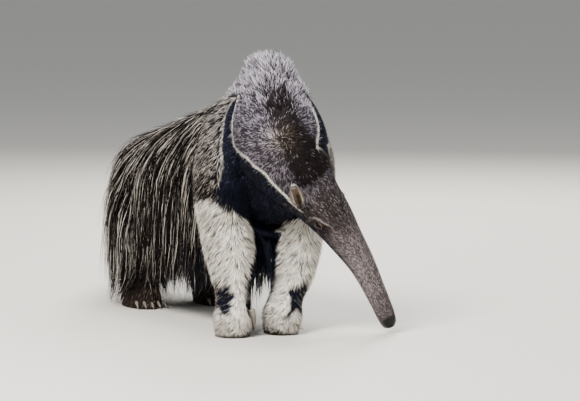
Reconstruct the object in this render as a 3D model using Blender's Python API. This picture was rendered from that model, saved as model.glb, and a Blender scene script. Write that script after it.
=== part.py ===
"""A giant anteater, life size, standing with its head lowered to the ground.

Metres, +Z up. The animal faces -Y, so its right side is at -X and its left side at +X.
The body is lofted as one closed form and parted by thin cuts into the pieces a person would
name. The long bristly coat of the flanks, rump and tail is set on it lock by lock.
"""

import math
import random
from collections import namedtuple

import bmesh
import bpy
from mathutils import Matrix, Vector
from mathutils.bvhtree import BVHTree

# Driving dimensions
GAP = 0.0003
BODY_VOXEL = 0.0055
BODY_SMOOTHING = 5
BODY_TRIANGLES = 2900
HEAD_BODY_TRIANGLES = 7000
LOFT_SIDES = 24
LOFT_RINGS = 6
TAIL_FROM = 0.785
HEAD_FROM = 4.62
EYE_RADIUS = 0.0092
EYE_SINK = 0.0052
EAR_LENGTH = 0.062
EAR_WIDTH = 0.028
EAR_RISE = 0.010
SEED = 11

# A ring of the body: its centre, half width, half depth, the way its back faces, and how
# much narrower its back is than its belly.
Ring = namedtuple("Ring", "at wide deep back egg", defaults=(0.0,))

UP = (0, 0, 1)
FRONT = (0, -1, 0)
HEAD_BACK = (0.20, -0.89, 0.41)

TRUNK = [
    Ring((0.000, 0.800, 0.298), 0.040, 0.042, UP),
    Ring((0.000, 0.745, 0.288), 0.070, 0.070, UP),
    Ring((0.000, 0.680, 0.275), 0.100, 0.098, UP),
    Ring((0.000, 0.600, 0.268), 0.120, 0.118, UP, 0.06),
    Ring((0.004, 0.480, 0.282), 0.124, 0.125, UP, 0.08),
    Ring((0.008, 0.350, 0.303), 0.124, 0.136, UP, 0.12),
    Ring((0.016, 0.220, 0.330), 0.118, 0.146, UP, 0.18),
    Ring((0.026, 0.110, 0.364), 0.108, 0.166, UP, 0.24),
    Ring((0.034, 0.030, 0.386), 0.106, 0.198, UP, 0.26),
    Ring((0.034, -0.030, 0.374), 0.092, 0.156, UP, 0.05),
    Ring((0.034, -0.062, 0.368), 0.066, 0.118, UP),
]

NECK_AND_HEAD = [
    Ring((0.032, 0.100, 0.425), 0.070, 0.090, UP),
    Ring((0.034, 0.040, 0.450), 0.092, 0.112, (0.0, -0.35, 0.94)),
    Ring((0.030, -0.015, 0.430), 0.104, 0.108, (0.0, -0.60, 0.80)),
    Ring((0.030, -0.062, 0.392), 0.104, 0.098, (0.05, -0.76, 0.65)),
    Ring((0.044, -0.095, 0.350), 0.086, 0.083, (0.12, -0.84, 0.52)),
    Ring((0.075, -0.112, 0.303), 0.060, 0.063, HEAD_BACK),
    Ring((0.119, -0.109, 0.251), 0.047, 0.049, HEAD_BACK),
    Ring((0.148, -0.104, 0.212), 0.038, 0.041, HEAD_BACK),
    Ring((0.192, -0.098, 0.150), 0.028, 0.030, HEAD_BACK),
    Ring((0.223, -0.098, 0.090), 0.022, 0.024, HEAD_BACK),
    Ring((0.2465, -0.102, 0.038), 0.0185, 0.0195, HEAD_BACK),
    Ring((0.2535, -0.104, 0.018), 0.0150, 0.0155, HEAD_BACK),
]

FORELEG_RIGHT = [
    Ring((-0.030, 0.075, 0.480), 0.030, 0.045, FRONT),
    Ring((-0.055, 0.060, 0.420), 0.050, 0.068, FRONT),
    Ring((-0.074, 0.034, 0.350), 0.060, 0.078, FRONT),
    Ring((-0.074, 0.036, 0.285), 0.060, 0.074, FRONT),
    Ring((-0.066, 0.036, 0.230), 0.058, 0.066, FRONT),
    Ring((-0.062, 0.014, 0.170), 0.056, 0.060, FRONT),
    Ring((-0.064, -0.008, 0.115), 0.046, 0.048, FRONT),
    Ring((-0.069, -0.026, 0.072), 0.040, 0.042, FRONT),
    Ring((-0.074, -0.040, 0.040), 0.044, 0.050, FRONT),
    Ring((-0.076, -0.042, 0.008), 0.038, 0.044, FRONT),
    Ring((-0.076, -0.042, -0.012), 0.034, 0.040, FRONT),
]

FORELEG_LEFT = [
    Ring((0.090, 0.075, 0.480), 0.030, 0.045, FRONT),
    Ring((0.108, 0.060, 0.420), 0.050, 0.068, FRONT),
    Ring((0.118, 0.038, 0.350), 0.060, 0.078, FRONT),
    Ring((0.116, 0.045, 0.285), 0.060, 0.074, FRONT),
    Ring((0.106, 0.048, 0.230), 0.057, 0.066, FRONT),
    Ring((0.094, 0.028, 0.175), 0.054, 0.060, FRONT),
    Ring((0.074, 0.002, 0.115), 0.046, 0.048, FRONT),
    Ring((0.052, -0.018, 0.072), 0.039, 0.042, FRONT),
    Ring((0.040, -0.030, 0.040), 0.044, 0.050, FRONT),
    Ring((0.036, -0.032, 0.008), 0.038, 0.044, FRONT),
    Ring((0.036, -0.032, -0.012), 0.034, 0.040, FRONT),
]

# The hind legs stand alike, this far either side of the middle.
HINDLEG = [
    Ring((0.055, 0.600, 0.300), 0.045, 0.075, FRONT),
    Ring((0.078, 0.575, 0.240), 0.060, 0.095, FRONT),
    Ring((0.086, 0.550, 0.180), 0.056, 0.084, FRONT),
    Ring((0.086, 0.575, 0.128), 0.045, 0.058, FRONT),
    Ring((0.084, 0.598, 0.082), 0.038, 0.045, FRONT),
    Ring((0.084, 0.582, 0.036), 0.041, 0.062, FRONT),
    Ring((0.085, 0.555, 0.006), 0.043, 0.080, FRONT),
    Ring((0.085, 0.555, -0.012), 0.041, 0.078, FRONT),
]

TAIL = [
    Ring((0.000, 0.745, 0.290), 0.052, 0.055, UP),
    Ring((0.008, 0.810, 0.292), 0.044, 0.048, UP),
    Ring((0.038, 0.900, 0.262), 0.038, 0.042, UP),
    Ring((0.090, 1.010, 0.205), 0.032, 0.036, UP),
    Ring((0.155, 1.130, 0.150), 0.026, 0.031, UP),
    Ring((0.226, 1.250, 0.112), 0.021, 0.026, UP),
    Ring((0.300, 1.355, 0.088), 0.015, 0.020, UP),
    Ring((0.338, 1.405, 0.078), 0.008, 0.012, UP),
]

# The long coat's locks. A lock is a flat strip with a ridge, which tapers to its tip.
LOCK_STEPS = 4
LOCK_ROOT_DEPTH = 0.009
LOCK_THICK = 0.0060
LOCK_CLEAR = 0.0035
LOCK_SLOPE = 0.13
FLANK_FROM, FLANK_TO, FLANK_STEP = 0.168, 0.765, 0.072

# A row of locks along each flank: degrees round from the back, length, width, and how low
# its tips reach.
Row = namedtuple("Row", "round long wide low")
FLANK_ROWS = [
    Row(24, 0.160, 0.078, 0.20),
    Row(46, 0.180, 0.080, 0.14),
    Row(67, 0.205, 0.080, 0.08),
    Row(87, 0.220, 0.076, 0.045),
    Row(107, 0.185, 0.070, 0.040),
]

# Above the thigh the upper rows are longer, since they hang over it.
THIGH_FROM, THIGH_TO, THIGH_LONGER = 0.46, 0.70, 1.42

# A row of locks along each side of the tail: degrees round, length, width, where along the
# tail it starts, how many, and how steeply they hang.
TailRow = namedtuple("TailRow", "round long wide start count hang")
TAIL_ROWS = [
    TailRow(30, 0.25, 0.056, 1.25, 9, 0.8),
    TailRow(92, 0.30, 0.072, 1.35, 7, 2.2),
]

# Locks on the rump: how far along y, degrees round, length.
Tuft = namedtuple("Tuft", "y round long")
RUMP_TUFTS = [
    Tuft(0.735, 12, 0.17),
    Tuft(0.775, 38, 0.19),
    Tuft(0.778, 66, 0.21),
    Tuft(0.776, 94, 0.20),
]

# Where the eyes, ears, nostrils and mouth are on the head, as places along it and degrees
# round from its back.
EYE_AT, EYE_ROUND = 5.70, 77
EAR_AT, EAR_ROUND = 4.98, 75
NOSTRIL_AT, NOSTRIL_ROUND = 10.9, 38
MOUTH_FROM, MOUTH_ROUND = 9.7, 128

# Which way each ear's tip points, as parts of the head's back, backwards and outwards.
EAR_WAYS = {"right": (0.62, 1.0, 0.08), "left": (0.25, 1.0, 0.25)}

# A foot's claws: where each leaves its foot, from the foot's middle and towards the body's
# middle, which way it points and bends, its length, its root's half thickness, and how many
# degrees it turns.
Claw = namedtuple("Claw", "name root way bend long thick turn")
FORE_CLAWS = [
    Claw("claw_long", (0.026, -0.020, 0.058), (0.18, -0.10, -0.80), (0, 1, 0.30), 0.066, 0.0085, 82),
    Claw("claw_inner", (0.028, 0.006, 0.044), (0.16, 0.20, -0.80), (0, 1, 0.20), 0.044, 0.0062, 60),
    Claw("claw_outer", (-0.024, -0.036, 0.017), (-0.35, -0.90, -0.20), (0, 0, -1), 0.016, 0.0040, 20),
]
HIND_CLAWS = 5
HIND_CLAW_SPREAD = 0.0155


def clear_scene():
    for obj in list(bpy.data.objects):
        bpy.data.objects.remove(obj)


def material(name, colour, roughness):
    made = bpy.data.materials.new(name)
    made.use_nodes = True
    shader = made.node_tree.nodes["Principled BSDF"]
    shader.inputs["Base Color"].default_value = (*colour, 1)
    shader.inputs["Roughness"].default_value = roughness
    shader.inputs["Metallic"].default_value = 0
    return made


def mesh_object(name, bm):
    """A mesh object of bm, which is freed."""
    mesh = bpy.data.meshes.new(name)
    bm.to_mesh(mesh)
    bm.free()
    obj = bpy.data.objects.new(name, mesh)
    bpy.context.scene.collection.objects.link(obj)
    return obj


def applied(obj, name):
    """A mesh object of obj as its modifiers leave it. obj is removed."""
    graph = bpy.context.evaluated_depsgraph_get()
    mesh = bpy.data.meshes.new_from_object(obj.evaluated_get(graph))
    bpy.data.objects.remove(obj)
    mesh.name = name
    made = bpy.data.objects.new(name, mesh)
    bpy.context.scene.collection.objects.link(made)
    return made


def copied(obj, name):
    made = bpy.data.objects.new(name, obj.data.copy())
    bpy.context.scene.collection.objects.link(made)
    return made


def grown(obj, by):
    """A copy of obj with its faces moved out by the given distance."""
    made = copied(obj, obj.name + "_grown")
    bm = bmesh.new()
    bm.from_mesh(made.data)
    bm.normal_update()
    moves = [v.normal * (v.calc_shell_factor() * by) for v in bm.verts]
    for v, move in zip(bm.verts, moves):
        v.co += move
    bm.to_mesh(made.data)
    bm.free()
    return made


def largest_surface(obj):
    """Keeps only obj's largest closed surface."""
    bm = bmesh.new()
    bm.from_mesh(obj.data)
    left = set(bm.verts)
    groups = []
    while left:
        seed = left.pop()
        group, edge = [seed], [seed]
        while edge:
            v = edge.pop()
            for link in v.link_edges:
                other = link.other_vert(v)
                if other in left:
                    left.remove(other)
                    group.append(other)
                    edge.append(other)
        groups.append(group)
    groups.sort(key=len)
    loose = [v for group in groups[:-1] for v in group]
    bmesh.ops.delete(bm, geom=loose, context="VERTS")
    bm.to_mesh(obj.data)
    bm.free()
    return obj


def combined(obj, tools, operation, solver="EXACT"):
    """obj with the closed tools fused to it, cut from it or kept of it. All are used up."""
    name = obj.name
    group = bpy.data.collections.new("tools")
    for tool in tools:
        group.objects.link(tool)
    cut = obj.modifiers.new("combine", "BOOLEAN")
    cut.operation = operation
    cut.operand_type = "COLLECTION"
    cut.collection = group
    cut.solver = solver
    made = applied(obj, name)
    for tool in tools:
        bpy.data.objects.remove(tool)
    bpy.data.collections.remove(group)
    return largest_surface(made)


def hull(name, points):
    """The convex solid round the points."""
    bm = bmesh.new()
    for point in points:
        bm.verts.new(point)
    bmesh.ops.convex_hull(bm, input=bm.verts)
    bmesh.ops.recalc_face_normals(bm, faces=bm.faces)
    return mesh_object(name, bm)


def block(name, low, high):
    """The box between two corners."""
    return hull(name, [(x, y, z) for x in (low[0], high[0]) for y in (low[1], high[1])
                       for z in (low[2], high[2])])


def wedge(name, outline, front, back):
    """The outline, in X and Z, drawn out from front to back along Y."""
    return hull(name, [(x, y, z) for x, z in outline for y in (front, back)])


def smooth_between(values, t):
    """The Catmull-Rom value at t, which counts along the listed vectors or numbers."""
    i = min(int(t), len(values) - 2)
    f = t - i
    p1, p2 = values[i], values[i + 1]
    p0 = values[i - 1] if i else p1 - (p2 - p1)
    p3 = values[i + 2] if i + 2 < len(values) else p2 + (p2 - p1)
    return 0.5 * (
        2 * p1
        + (p2 - p0) * f
        + (2 * p0 - 5 * p1 + 4 * p2 - p3) * f**2
        + (3 * p1 - p0 - 3 * p2 + p3) * f**3
    )


class Loft:
    """A smooth tube through rings, read at any place along it."""

    def __init__(self, rings):
        self.at = [Vector(ring.at) for ring in rings]
        self.wide = [ring.wide for ring in rings]
        self.deep = [ring.deep for ring in rings]
        self.back = [Vector(ring.back).normalized() for ring in rings]
        self.egg = [ring.egg for ring in rings]
        self.last = len(rings) - 1

    def frame(self, t):
        """Centre, the way along, the way its back faces and the way to its side, at t."""
        step = 0.02
        low, high = max(0.0, t - step), min(self.last, t + step)
        centre = smooth_between(self.at, t)
        along = (smooth_between(self.at, high) - smooth_between(self.at, low)).normalized()
        back = smooth_between(self.back, t)
        back = (back - back.project(along)).normalized()
        return centre, along, back, along.cross(back)

    def point(self, t, angle, grow=0.0):
        """The surface point at t, angle round from the back, grown outwards."""
        centre, _, back, side = self.frame(t)
        wide = smooth_between(self.wide, t) + grow
        deep = smooth_between(self.deep, t) + grow
        egg = smooth_between(self.egg, t)
        across = wide * math.sin(angle) * (1 - egg * math.cos(angle))
        return centre + side * across + back * (deep * math.cos(angle))


def add_tube(bm, loops):
    """Adds the closed skin over a row of loops of points, flat at both ends."""
    rows = [[bm.verts.new(point) for point in loop] for loop in loops]
    sides = len(rows[0])
    for low, high in zip(rows, rows[1:]):
        for k in range(sides):
            n = (k + 1) % sides
            bm.faces.new((low[k], low[n], high[n], high[k]))
    bm.faces.new(rows[0][::-1])
    bm.faces.new(rows[-1])


def add_loft(bm, rings, sides=LOFT_SIDES, per_ring=LOFT_RINGS):
    """Adds the closed tube through the rings to bm, its ends rounded by a smaller loop."""
    loft = Loft(rings)
    steps = loft.last * per_ring
    loops = []
    for step in range(steps + 1):
        t = step / per_ring
        loops.append([loft.point(t, 2 * math.pi * k / sides) for k in range(sides)])
    for t, sign in ((0.0, -1), (loft.last, 1)):
        centre, along, _, _ = loft.frame(t)
        size = smooth_between(loft.deep, t)
        rim = loops[0] if sign < 0 else loops[-1]
        inner = [centre + (point - centre) * 0.7 + along * (sign * size * 0.32) for point in rim]
        loops.insert(0 if sign < 0 else len(loops), inner)
    add_tube(bm, loops)


def mirrored(rings):
    """The rings on the animal's right side of those given for its left."""
    return [
        Ring((-ring.at[0], ring.at[1], ring.at[2]), ring.wide, ring.deep, ring.back, ring.egg)
        for ring in rings
    ]


def fused(name, many_rings):
    """The lofts as one closed form with no seams, finely faceted."""
    bm = bmesh.new()
    for rings in many_rings:
        add_loft(bm, rings)
    bmesh.ops.recalc_face_normals(bm, faces=bm.faces)
    rough = mesh_object(name, bm)
    remesh = rough.modifiers.new("fuse", "REMESH")
    remesh.mode = "VOXEL"
    remesh.voxel_size = BODY_VOXEL
    smooth = rough.modifiers.new("smooth", "SMOOTH")
    smooth.factor = 0.5
    smooth.iterations = BODY_SMOOTHING
    return applied(rough, name)


def thinned(obj, name, triangles):
    """A copy of obj with about as many triangles as asked, standing flat on the floor."""
    made = copied(obj, name)
    thin = made.modifiers.new("thin", "DECIMATE")
    thin.ratio = triangles / (2 * len(made.data.polygons))
    made = applied(made, name)
    floor = block("floor_cut", (-1, -1, -1), (1, 2, 0))
    return combined(made, [floor], "DIFFERENCE")


def parted(body, cell, name):
    """Splits body at the cell's faces. Returns what lies in the cell, named, and the rest."""
    inside = copied(body, name)
    outer = grown(cell, GAP)
    inside = combined(inside, [cell], "INTERSECT")
    rest = combined(body, [outer], "DIFFERENCE")
    return inside, rest


def head_cell():
    """A close sleeve round the head, from behind the ears to past the snout."""
    skull = Loft(NECK_AND_HEAD)
    steps, sides, clear = 24, 12, 0.005
    loops = []
    for step in range(steps + 1):
        t = HEAD_FROM + (skull.last - HEAD_FROM) * step / steps
        loops.append([skull.point(t, 2 * math.pi * k / sides, clear) for k in range(sides)])
    _, along, _, _ = skull.frame(skull.last)
    loops.append([point + along * 0.03 for point in loops[-1]])
    bm = bmesh.new()
    add_tube(bm, loops)
    bmesh.ops.recalc_face_normals(bm, faces=bm.faces)
    return mesh_object("head_cell", bm)


def part_body(body, fine_head):
    """The body's pieces by name, each a closed solid clear of the next."""
    pieces = {}
    head_rest = head_cell()
    pieces["head"] = combined(fine_head, [copied(head_rest, "head_only")], "INTERSECT")
    pieces["head"].name = "head"
    body = combined(body, [grown(head_rest, GAP)], "DIFFERENCE")
    bpy.data.objects.remove(head_rest)
    foreleg = [(-0.30, -0.05), (-0.018, -0.05), (0.008, 0.205), (-0.16, 0.385), (-0.30, 0.385)]
    cell = wedge("cell", foreleg, -0.20, 0.125)
    pieces["foreleg_right"], body = parted(body, cell, "foreleg_right")
    foreleg = [(0.30, -0.05), (-0.016, -0.05), (-0.012, 0.060), (0.034, 0.205), (0.19, 0.385)]
    foreleg.append((0.30, 0.385))
    cell = wedge("cell", foreleg, -0.20, 0.130)
    pieces["foreleg_left"], body = parted(body, cell, "foreleg_left")
    cell = block("cell", (-0.4, -0.40, 0.10), (0.5, -0.035, 0.80))
    pieces["neck"], body = parted(body, cell, "neck")
    for name, sign in (("hindleg_right", -1), ("hindleg_left", 1)):
        thigh = [(0.30, -0.05), (0.0, -0.05), (0.0, 0.13), (0.17, 0.33), (0.30, 0.33)]
        outline = [(sign * x, z) for x, z in thigh]
        cell = wedge("cell", outline, 0.44, 0.70)
        pieces[name], body = parted(body, cell, name)
    cell = block("cell", (-0.5, TAIL_FROM, -0.1), (0.8, 2.0, 0.8))
    pieces["tail"], body = parted(body, cell, "tail")
    body.name = "torso"
    pieces["torso"] = body
    for side in ("right", "left"):
        for leg, foot, wrist in (("foreleg", "forefoot", 0.078), ("hindleg", "hindfoot", 0.070)):
            cell = block("cell", (-0.5, -0.5, -0.1), (0.5, 1.0, wrist))
            whole = pieces.pop(f"{leg}_{side}")
            whole.name = "whole_leg"
            pieces[f"{foot}_{side}"], upper = parted(whole, cell, f"{foot}_{side}")
            upper.name = f"{leg}_{side}"
            pieces[f"{leg}_{side}"] = upper
    return pieces


def axes(out, along):
    """The turn whose X runs along, whose Z faces out and whose Y is across both."""
    z = Vector(out).normalized()
    x = (Vector(along) - Vector(along).project(z)).normalized()
    return Matrix((x, z.cross(x), z)).transposed().to_4x4()


def ball(name, centre, radii, turn, segments=12, rings=8):
    bm = bmesh.new()
    bmesh.ops.create_uvsphere(bm, u_segments=segments, v_segments=rings, radius=1.0)
    bmesh.ops.transform(bm, matrix=Matrix.Diagonal((*radii, 1)), verts=bm.verts)
    bmesh.ops.transform(bm, matrix=Matrix.Translation(centre) @ turn, verts=bm.verts)
    return mesh_object(name, bm)


def almond(name, centre, turn, long, high, deep):
    """A cutter with an almond outline, which runs outwards from the centre."""
    half = 5
    outline = []
    for k in range(2 * half):
        u = math.cos(math.pi * k / half)
        v = math.sin(math.pi * k / half)
        outline.append((long / 2 * u, high / 2 * v * (1 - 0.35 * u * u), 0))
    bm = bmesh.new()
    place = Matrix.Translation(centre) @ turn
    ends = (0.25 * long, deep)
    add_tube(bm, [[place @ (Vector(p) + Vector((0, 0, z))) for p in outline] for z in ends])
    return mesh_object(name, bm)


def rod(name, points, radius, sides=5):
    """A round rod through the points."""
    loops = []
    for k, point in enumerate(points):
        before, after = points[max(k - 1, 0)], points[min(k + 1, len(points) - 1)]
        turn = axes((after - before).orthogonal(), after - before)
        centre = Matrix.Translation(point) @ turn
        loops.append([
            centre @ Vector((0, radius * math.cos(a), radius * math.sin(a)))
            for a in (2 * math.pi * n / sides for n in range(sides))
        ])
    bm = bmesh.new()
    add_tube(bm, loops)
    bmesh.ops.recalc_face_normals(bm, faces=bm.faces)
    return mesh_object(name, bm)


def horn(name, claw, foot, inward):
    """A curved claw, thickest at its root, with a blunt tip. inward is the sign of its X."""
    steps, sides = 4, 6
    flip = Matrix.Diagonal((inward, 1, 1))
    way = (flip @ Vector(claw.way)).normalized()
    bend = flip @ Vector(claw.bend)
    bend = (bend - bend.project(way)).normalized()
    side = way.cross(bend)
    turn = math.radians(claw.turn)
    radius = claw.long / turn
    root = Vector(foot) + flip @ Vector(claw.root)
    loops = []
    for step in range(steps + 1):
        s = step / steps
        angle = turn * s
        centre = root + way * (radius * math.sin(angle)) + bend * (radius * (1 - math.cos(angle)))
        across = bend * math.cos(angle) - way * math.sin(angle)
        size = claw.thick * (1 - 0.86 * s**1.4)
        loops.append([
            centre + side * (size * 0.8 * math.cos(a)) + across * (size * math.sin(a))
            for a in (2 * math.pi * n / sides for n in range(sides))
        ])
    bm = bmesh.new()
    add_tube(bm, loops)
    bmesh.ops.recalc_face_normals(bm, faces=bm.faces)
    return mesh_object(name, bm)


def seat(pieces, host, guest):
    """Sinks the guest in the host, which is cut clear of it."""
    pieces[host] = combined(pieces[host], [grown(guest, GAP)], "DIFFERENCE")
    pieces[guest.name] = guest


def ear(name, root, tip_way, cup_way):
    """A cupped ear: crescent sections from a solid root to a rounded rim."""
    tip_way = Vector(tip_way).normalized()
    cup = Vector(cup_way)
    cup = (cup - cup.project(tip_way)).normalized()
    rise = cup * EAR_RISE
    side = tip_way.cross(cup)
    loops = []
    for along, width, depth, wall in (
        (-0.12, 0.30, 0.30, 1.00),
        (0.08, 0.36, 0.36, 0.80),
        (0.25, 0.46, 0.42, 0.30),
        (0.45, 0.50, 0.40, 0.20),
        (0.65, 0.47, 0.34, 0.18),
        (0.83, 0.37, 0.24, 0.18),
        (0.95, 0.22, 0.12, 0.20),
        (1.00, 0.08, 0.04, 0.50),
    ):
        centre = Vector(root) + tip_way * (along * EAR_LENGTH) + rise * min(1, max(0, along / 0.4))
        half, bowl = width * EAR_WIDTH, depth * EAR_WIDTH
        loop = []
        for k in range(7):
            angle = math.radians(-100 + 200 * k / 6)
            loop.append((half * math.sin(angle), -bowl * math.cos(angle)))
        for k in range(5):
            angle = math.radians(80 - 160 * k / 4)
            inner = 1 - wall
            loop.append((half * inner * math.sin(angle), -bowl * (inner * math.cos(angle) - 0.1)))
        loops.append([centre + side * u + cup * v for u, v in loop])
    bm = bmesh.new()
    add_tube(bm, loops)
    bmesh.ops.recalc_face_normals(bm, faces=bm.faces)
    return mesh_object(name, bm)


def tree(obj):
    return BVHTree.FromPolygons(
        [v.co for v in obj.data.vertices], [face.vertices for face in obj.data.polygons]
    )


def skin_point(obj, centre, way):
    """Where obj's surface is met from the centre in the given way."""
    return tree(obj).ray_cast(centre, way)[0]


def add_head_forms(pieces):
    """Lids, eyes, ears, nostrils, lips and the line of the mouth."""
    skull = Loft(NECK_AND_HEAD)
    hosts = [grown(pieces[host], GAP) for host in ("head", "neck")]
    for side, sign in (("right", 1), ("left", -1)):
        centre, along, back, _ = skull.frame(EAR_AT)
        out = (skull.point(EAR_AT, math.radians(sign * EAR_ROUND)) - centre).normalized()
        root = skin_point(pieces["head"], centre, out)
        up, rear, wide = EAR_WAYS[side]
        tip_way = back * up - along * rear + out * wide
        pinna = ear(f"ear_{side}", root, tip_way, out * 0.80 + back * 0.60)
        for host in hosts:
            pinna = combined(pinna, [copied(host, "host")], "DIFFERENCE")
        pieces[f"ear_{side}"] = pinna
    for host in hosts:
        bpy.data.objects.remove(host)
    for side, sign in (("right", 1), ("left", -1)):
        centre, along, back, _ = skull.frame(EYE_AT)
        out = (skull.point(EYE_AT, math.radians(sign * EYE_ROUND)) - centre).normalized()
        turn = axes(out, along)
        middle = skin_point(pieces["head"], centre, out) - out * EYE_SINK
        lids = ball("lids", middle, (0.0160, 0.0122, 0.0112), turn)
        pieces["head"] = combined(pieces["head"], [lids], "UNION")
        slit = almond("slit", middle, turn, 0.0178, 0.0104, 0.03)
        pieces["head"] = combined(pieces["head"], [slit], "DIFFERENCE")
        seat(pieces, "head", ball(f"eye_{side}", middle, (EYE_RADIUS,) * 3, turn))

        centre, along, _, _ = skull.frame(NOSTRIL_AT)
        rim = skull.point(NOSTRIL_AT, math.radians(sign * NOSTRIL_ROUND))
        hole = centre.lerp(rim, 0.72) + along * 0.0065
        nostril = ball("nostril", hole, (0.0030, 0.0017, 0.0042), axes(along, rim - centre), 8, 5)
        pieces["head"] = combined(pieces["head"], [nostril], "DIFFERENCE")
    add_mouth(pieces, skull)


def add_mouth(pieces, skull):
    """The small mouth under the snout's tip, and the line between the lips on each side."""
    steps = 5
    for sign in (1, -1):
        path = []
        for step in range(steps):
            t = MOUTH_FROM + (skull.last - MOUTH_FROM) * step / (steps - 1)
            path.append(skull.point(t, math.radians(sign * MOUTH_ROUND), -0.0016))
        lips = rod("lips", path, 0.0026)
        pieces["head"] = combined(pieces["head"], [lips], "UNION")
        outer = [skull.point(MOUTH_FROM - 0.15, math.radians(sign * MOUTH_ROUND), 0.0008)]
        for step in range(steps):
            t = MOUTH_FROM + (skull.last - MOUTH_FROM) * (step + 0.6) / (steps - 1)
            t = min(t, skull.last)
            outer.append(skull.point(t, math.radians(sign * MOUTH_ROUND), 0.0009))
        _, along, _, _ = skull.frame(skull.last)
        outer[-1] = outer[-1] + along * 0.012
        line = rod("line", outer, 0.0011, 4)
        pieces["head"] = combined(pieces["head"], [line], "DIFFERENCE")
    centre, along, back, _ = skull.frame(skull.last)
    place = centre - back * 0.0085 + along * 0.0050
    mouth = ball("mouth", place, (0.0022, 0.0062, 0.0050), axes(along, back), 8, 5)
    pieces["head"] = combined(pieces["head"], [mouth], "DIFFERENCE")


def add_claws(pieces):
    """The forefeet's long claws, folded back along the inner side, and the hind feet's."""
    for side, inward, rings in (("right", 1, FORELEG_RIGHT), ("left", -1, FORELEG_LEFT)):
        middle = rings[8].at
        for claw in FORE_CLAWS:
            horn_piece = horn(f"{claw.name}_{side}", claw, (middle[0], middle[1], 0), inward)
            seat(pieces, f"forefoot_{side}", horn_piece)
    for side, inward in (("right", 1), ("left", -1)):
        middle = (-inward * HINDLEG[6].at[0], HINDLEG[6].at[1] - HINDLEG[6].deep, 0)
        for k in range(HIND_CLAWS):
            across = (k - (HIND_CLAWS - 1) / 2) * HIND_CLAW_SPREAD
            root = (across, 0.010 + 9.0 * across**2, 0.015)
            claw = Claw("", root, (across * 4, -0.92, -0.26), (0, 0, -1), 0.024, 0.0045, 28)
            toe = horn(f"claw_{k + 1}_hind_{side}", claw, middle, inward)
            seat(pieces, f"hindfoot_{side}", toe)


def place_at(loft, y):
    """Where along the loft its centre line crosses y."""
    low, high = 0.0, float(loft.last)
    falls = loft.at[0].y > loft.at[-1].y
    for _ in range(24):
        middle = (low + high) / 2
        if (smooth_between(loft.at, middle).y > y) == falls:
            low = middle
        else:
            high = middle
    return low


class Coat:
    """Lays locks over a skin, each with its root sunk in and its length clear above it."""

    def __init__(self, skin, host, others):
        self.skin = skin
        self.host = tree(host)
        self.others = [tree(other) for other in others]
        self.locks = []

    def push_out(self, point, need):
        """The point moved out, where it is nearer to the skin than it needs to be."""
        near, normal, _, _ = self.skin.find_nearest(point)
        height = (point - near).dot(normal)
        if height < need:
            return point + normal * (need - height), normal, True
        return point, normal, False

    def stations(self, root, flow, length, width, lift, slope):
        """The points along a lock, each with the way it faces out, or nothing off its host."""
        start, out, _, _ = self.skin.find_nearest(root)
        if self.host.find_nearest(start)[3] > 0.002:
            return []
        made = [(start - out * LOCK_ROOT_DEPTH, out)]
        here = start.copy()
        step = length / LOCK_STEPS
        for k in range(1, LOCK_STEPS + 1):
            s = k / LOCK_STEPS
            way = flow(here, s).normalized()
            if way.dot(out) < 0:
                way = (way - way.project(out) * (1 - s * s)).normalized()
            here = here + way * step
            need = LOCK_CLEAR + lift + slope * length * s
            here, normal, touched = self.push_out(here, need)
            out = normal if touched else (out * 0.7 + normal * 0.3).normalized()
            side = way.cross(out).normalized() * (width / 2 * lock_profile(s))
            for edge in (here + side, here - side):
                moved, _, touched = self.push_out(edge, LOCK_CLEAR + lift * 0.8)
                if touched:
                    here = here + (moved - edge)
            made.append((here, out))
        return made

    def lay(self, root, flow, length, width, lift, low, slope=LOCK_SLOPE):
        """Adds one lock, bent out or shortened until it is clear of floor and other pieces."""
        tries = 0
        while length > 0.06:
            made = self.stations(root, flow, length, width, lift, slope)
            if not made:
                return
            lock = lock_mesh(f"lock_{len(self.locks)}", made, width)
            if min(corner.co.z for corner in lock.data.vertices) < low:
                bpy.data.objects.remove(lock)
                length *= 0.92
                continue
            shape = tree(lock)
            if not any(shape.overlap(other) for other in self.others):
                self.locks.append(lock)
                return
            bpy.data.objects.remove(lock)
            tries += 1
            if tries % 4:
                lift += 0.003
            else:
                lift -= 0.009
                length *= 0.85


def lock_profile(s):
    """How wide a lock is at s of its length, from its root at 0 to its tip at 1."""
    return (0.62 + 0.38 * min(1, s / 0.4)) * (1 - max(0, (s - 0.4) / 0.6) ** 1.7)


def lock_mesh(name, stations, width):
    bm = bmesh.new()
    rows = []
    for k, (point, out) in enumerate(stations[:-1]):
        ahead = (stations[k + 1][0] - point).normalized()
        out = (out - out.project(ahead)).normalized()
        side = ahead.cross(out)
        half = width / 2 * lock_profile(k / LOCK_STEPS)
        thick = LOCK_THICK * (0.5 + 0.5 * lock_profile(k / LOCK_STEPS))
        corners = (point - side * half, point + out * thick, point + side * half)
        rows.append([bm.verts.new(corner) for corner in corners])
    tip = bm.verts.new(stations[-1][0])
    for low, high in zip(rows, rows[1:]):
        for k in range(3):
            n = (k + 1) % 3
            bm.faces.new((low[k], low[n], high[n], high[k]))
    for k in range(3):
        bm.faces.new((rows[-1][k], rows[-1][(k + 1) % 3], tip))
    bm.faces.new(rows[0][::-1])
    bmesh.ops.triangulate(bm, faces=bm.faces)
    bmesh.ops.recalc_face_normals(bm, faces=bm.faces)
    return mesh_object(name, bm)


def flank_flow(sign, row, y):
    """The way hair grows on the flank: back along the top, down and back on the side."""
    down = math.sin(math.radians(min(90, row.round + 25)))
    back = 0.75 - 0.45 * down + 0.5 * max(0, (y - 0.62) / 0.15)

    def flow(point, s):
        return Vector((sign * 0.35 * (1 - down), back * (1 - 0.5 * s), -down - 0.3 * s))

    return flow


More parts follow.
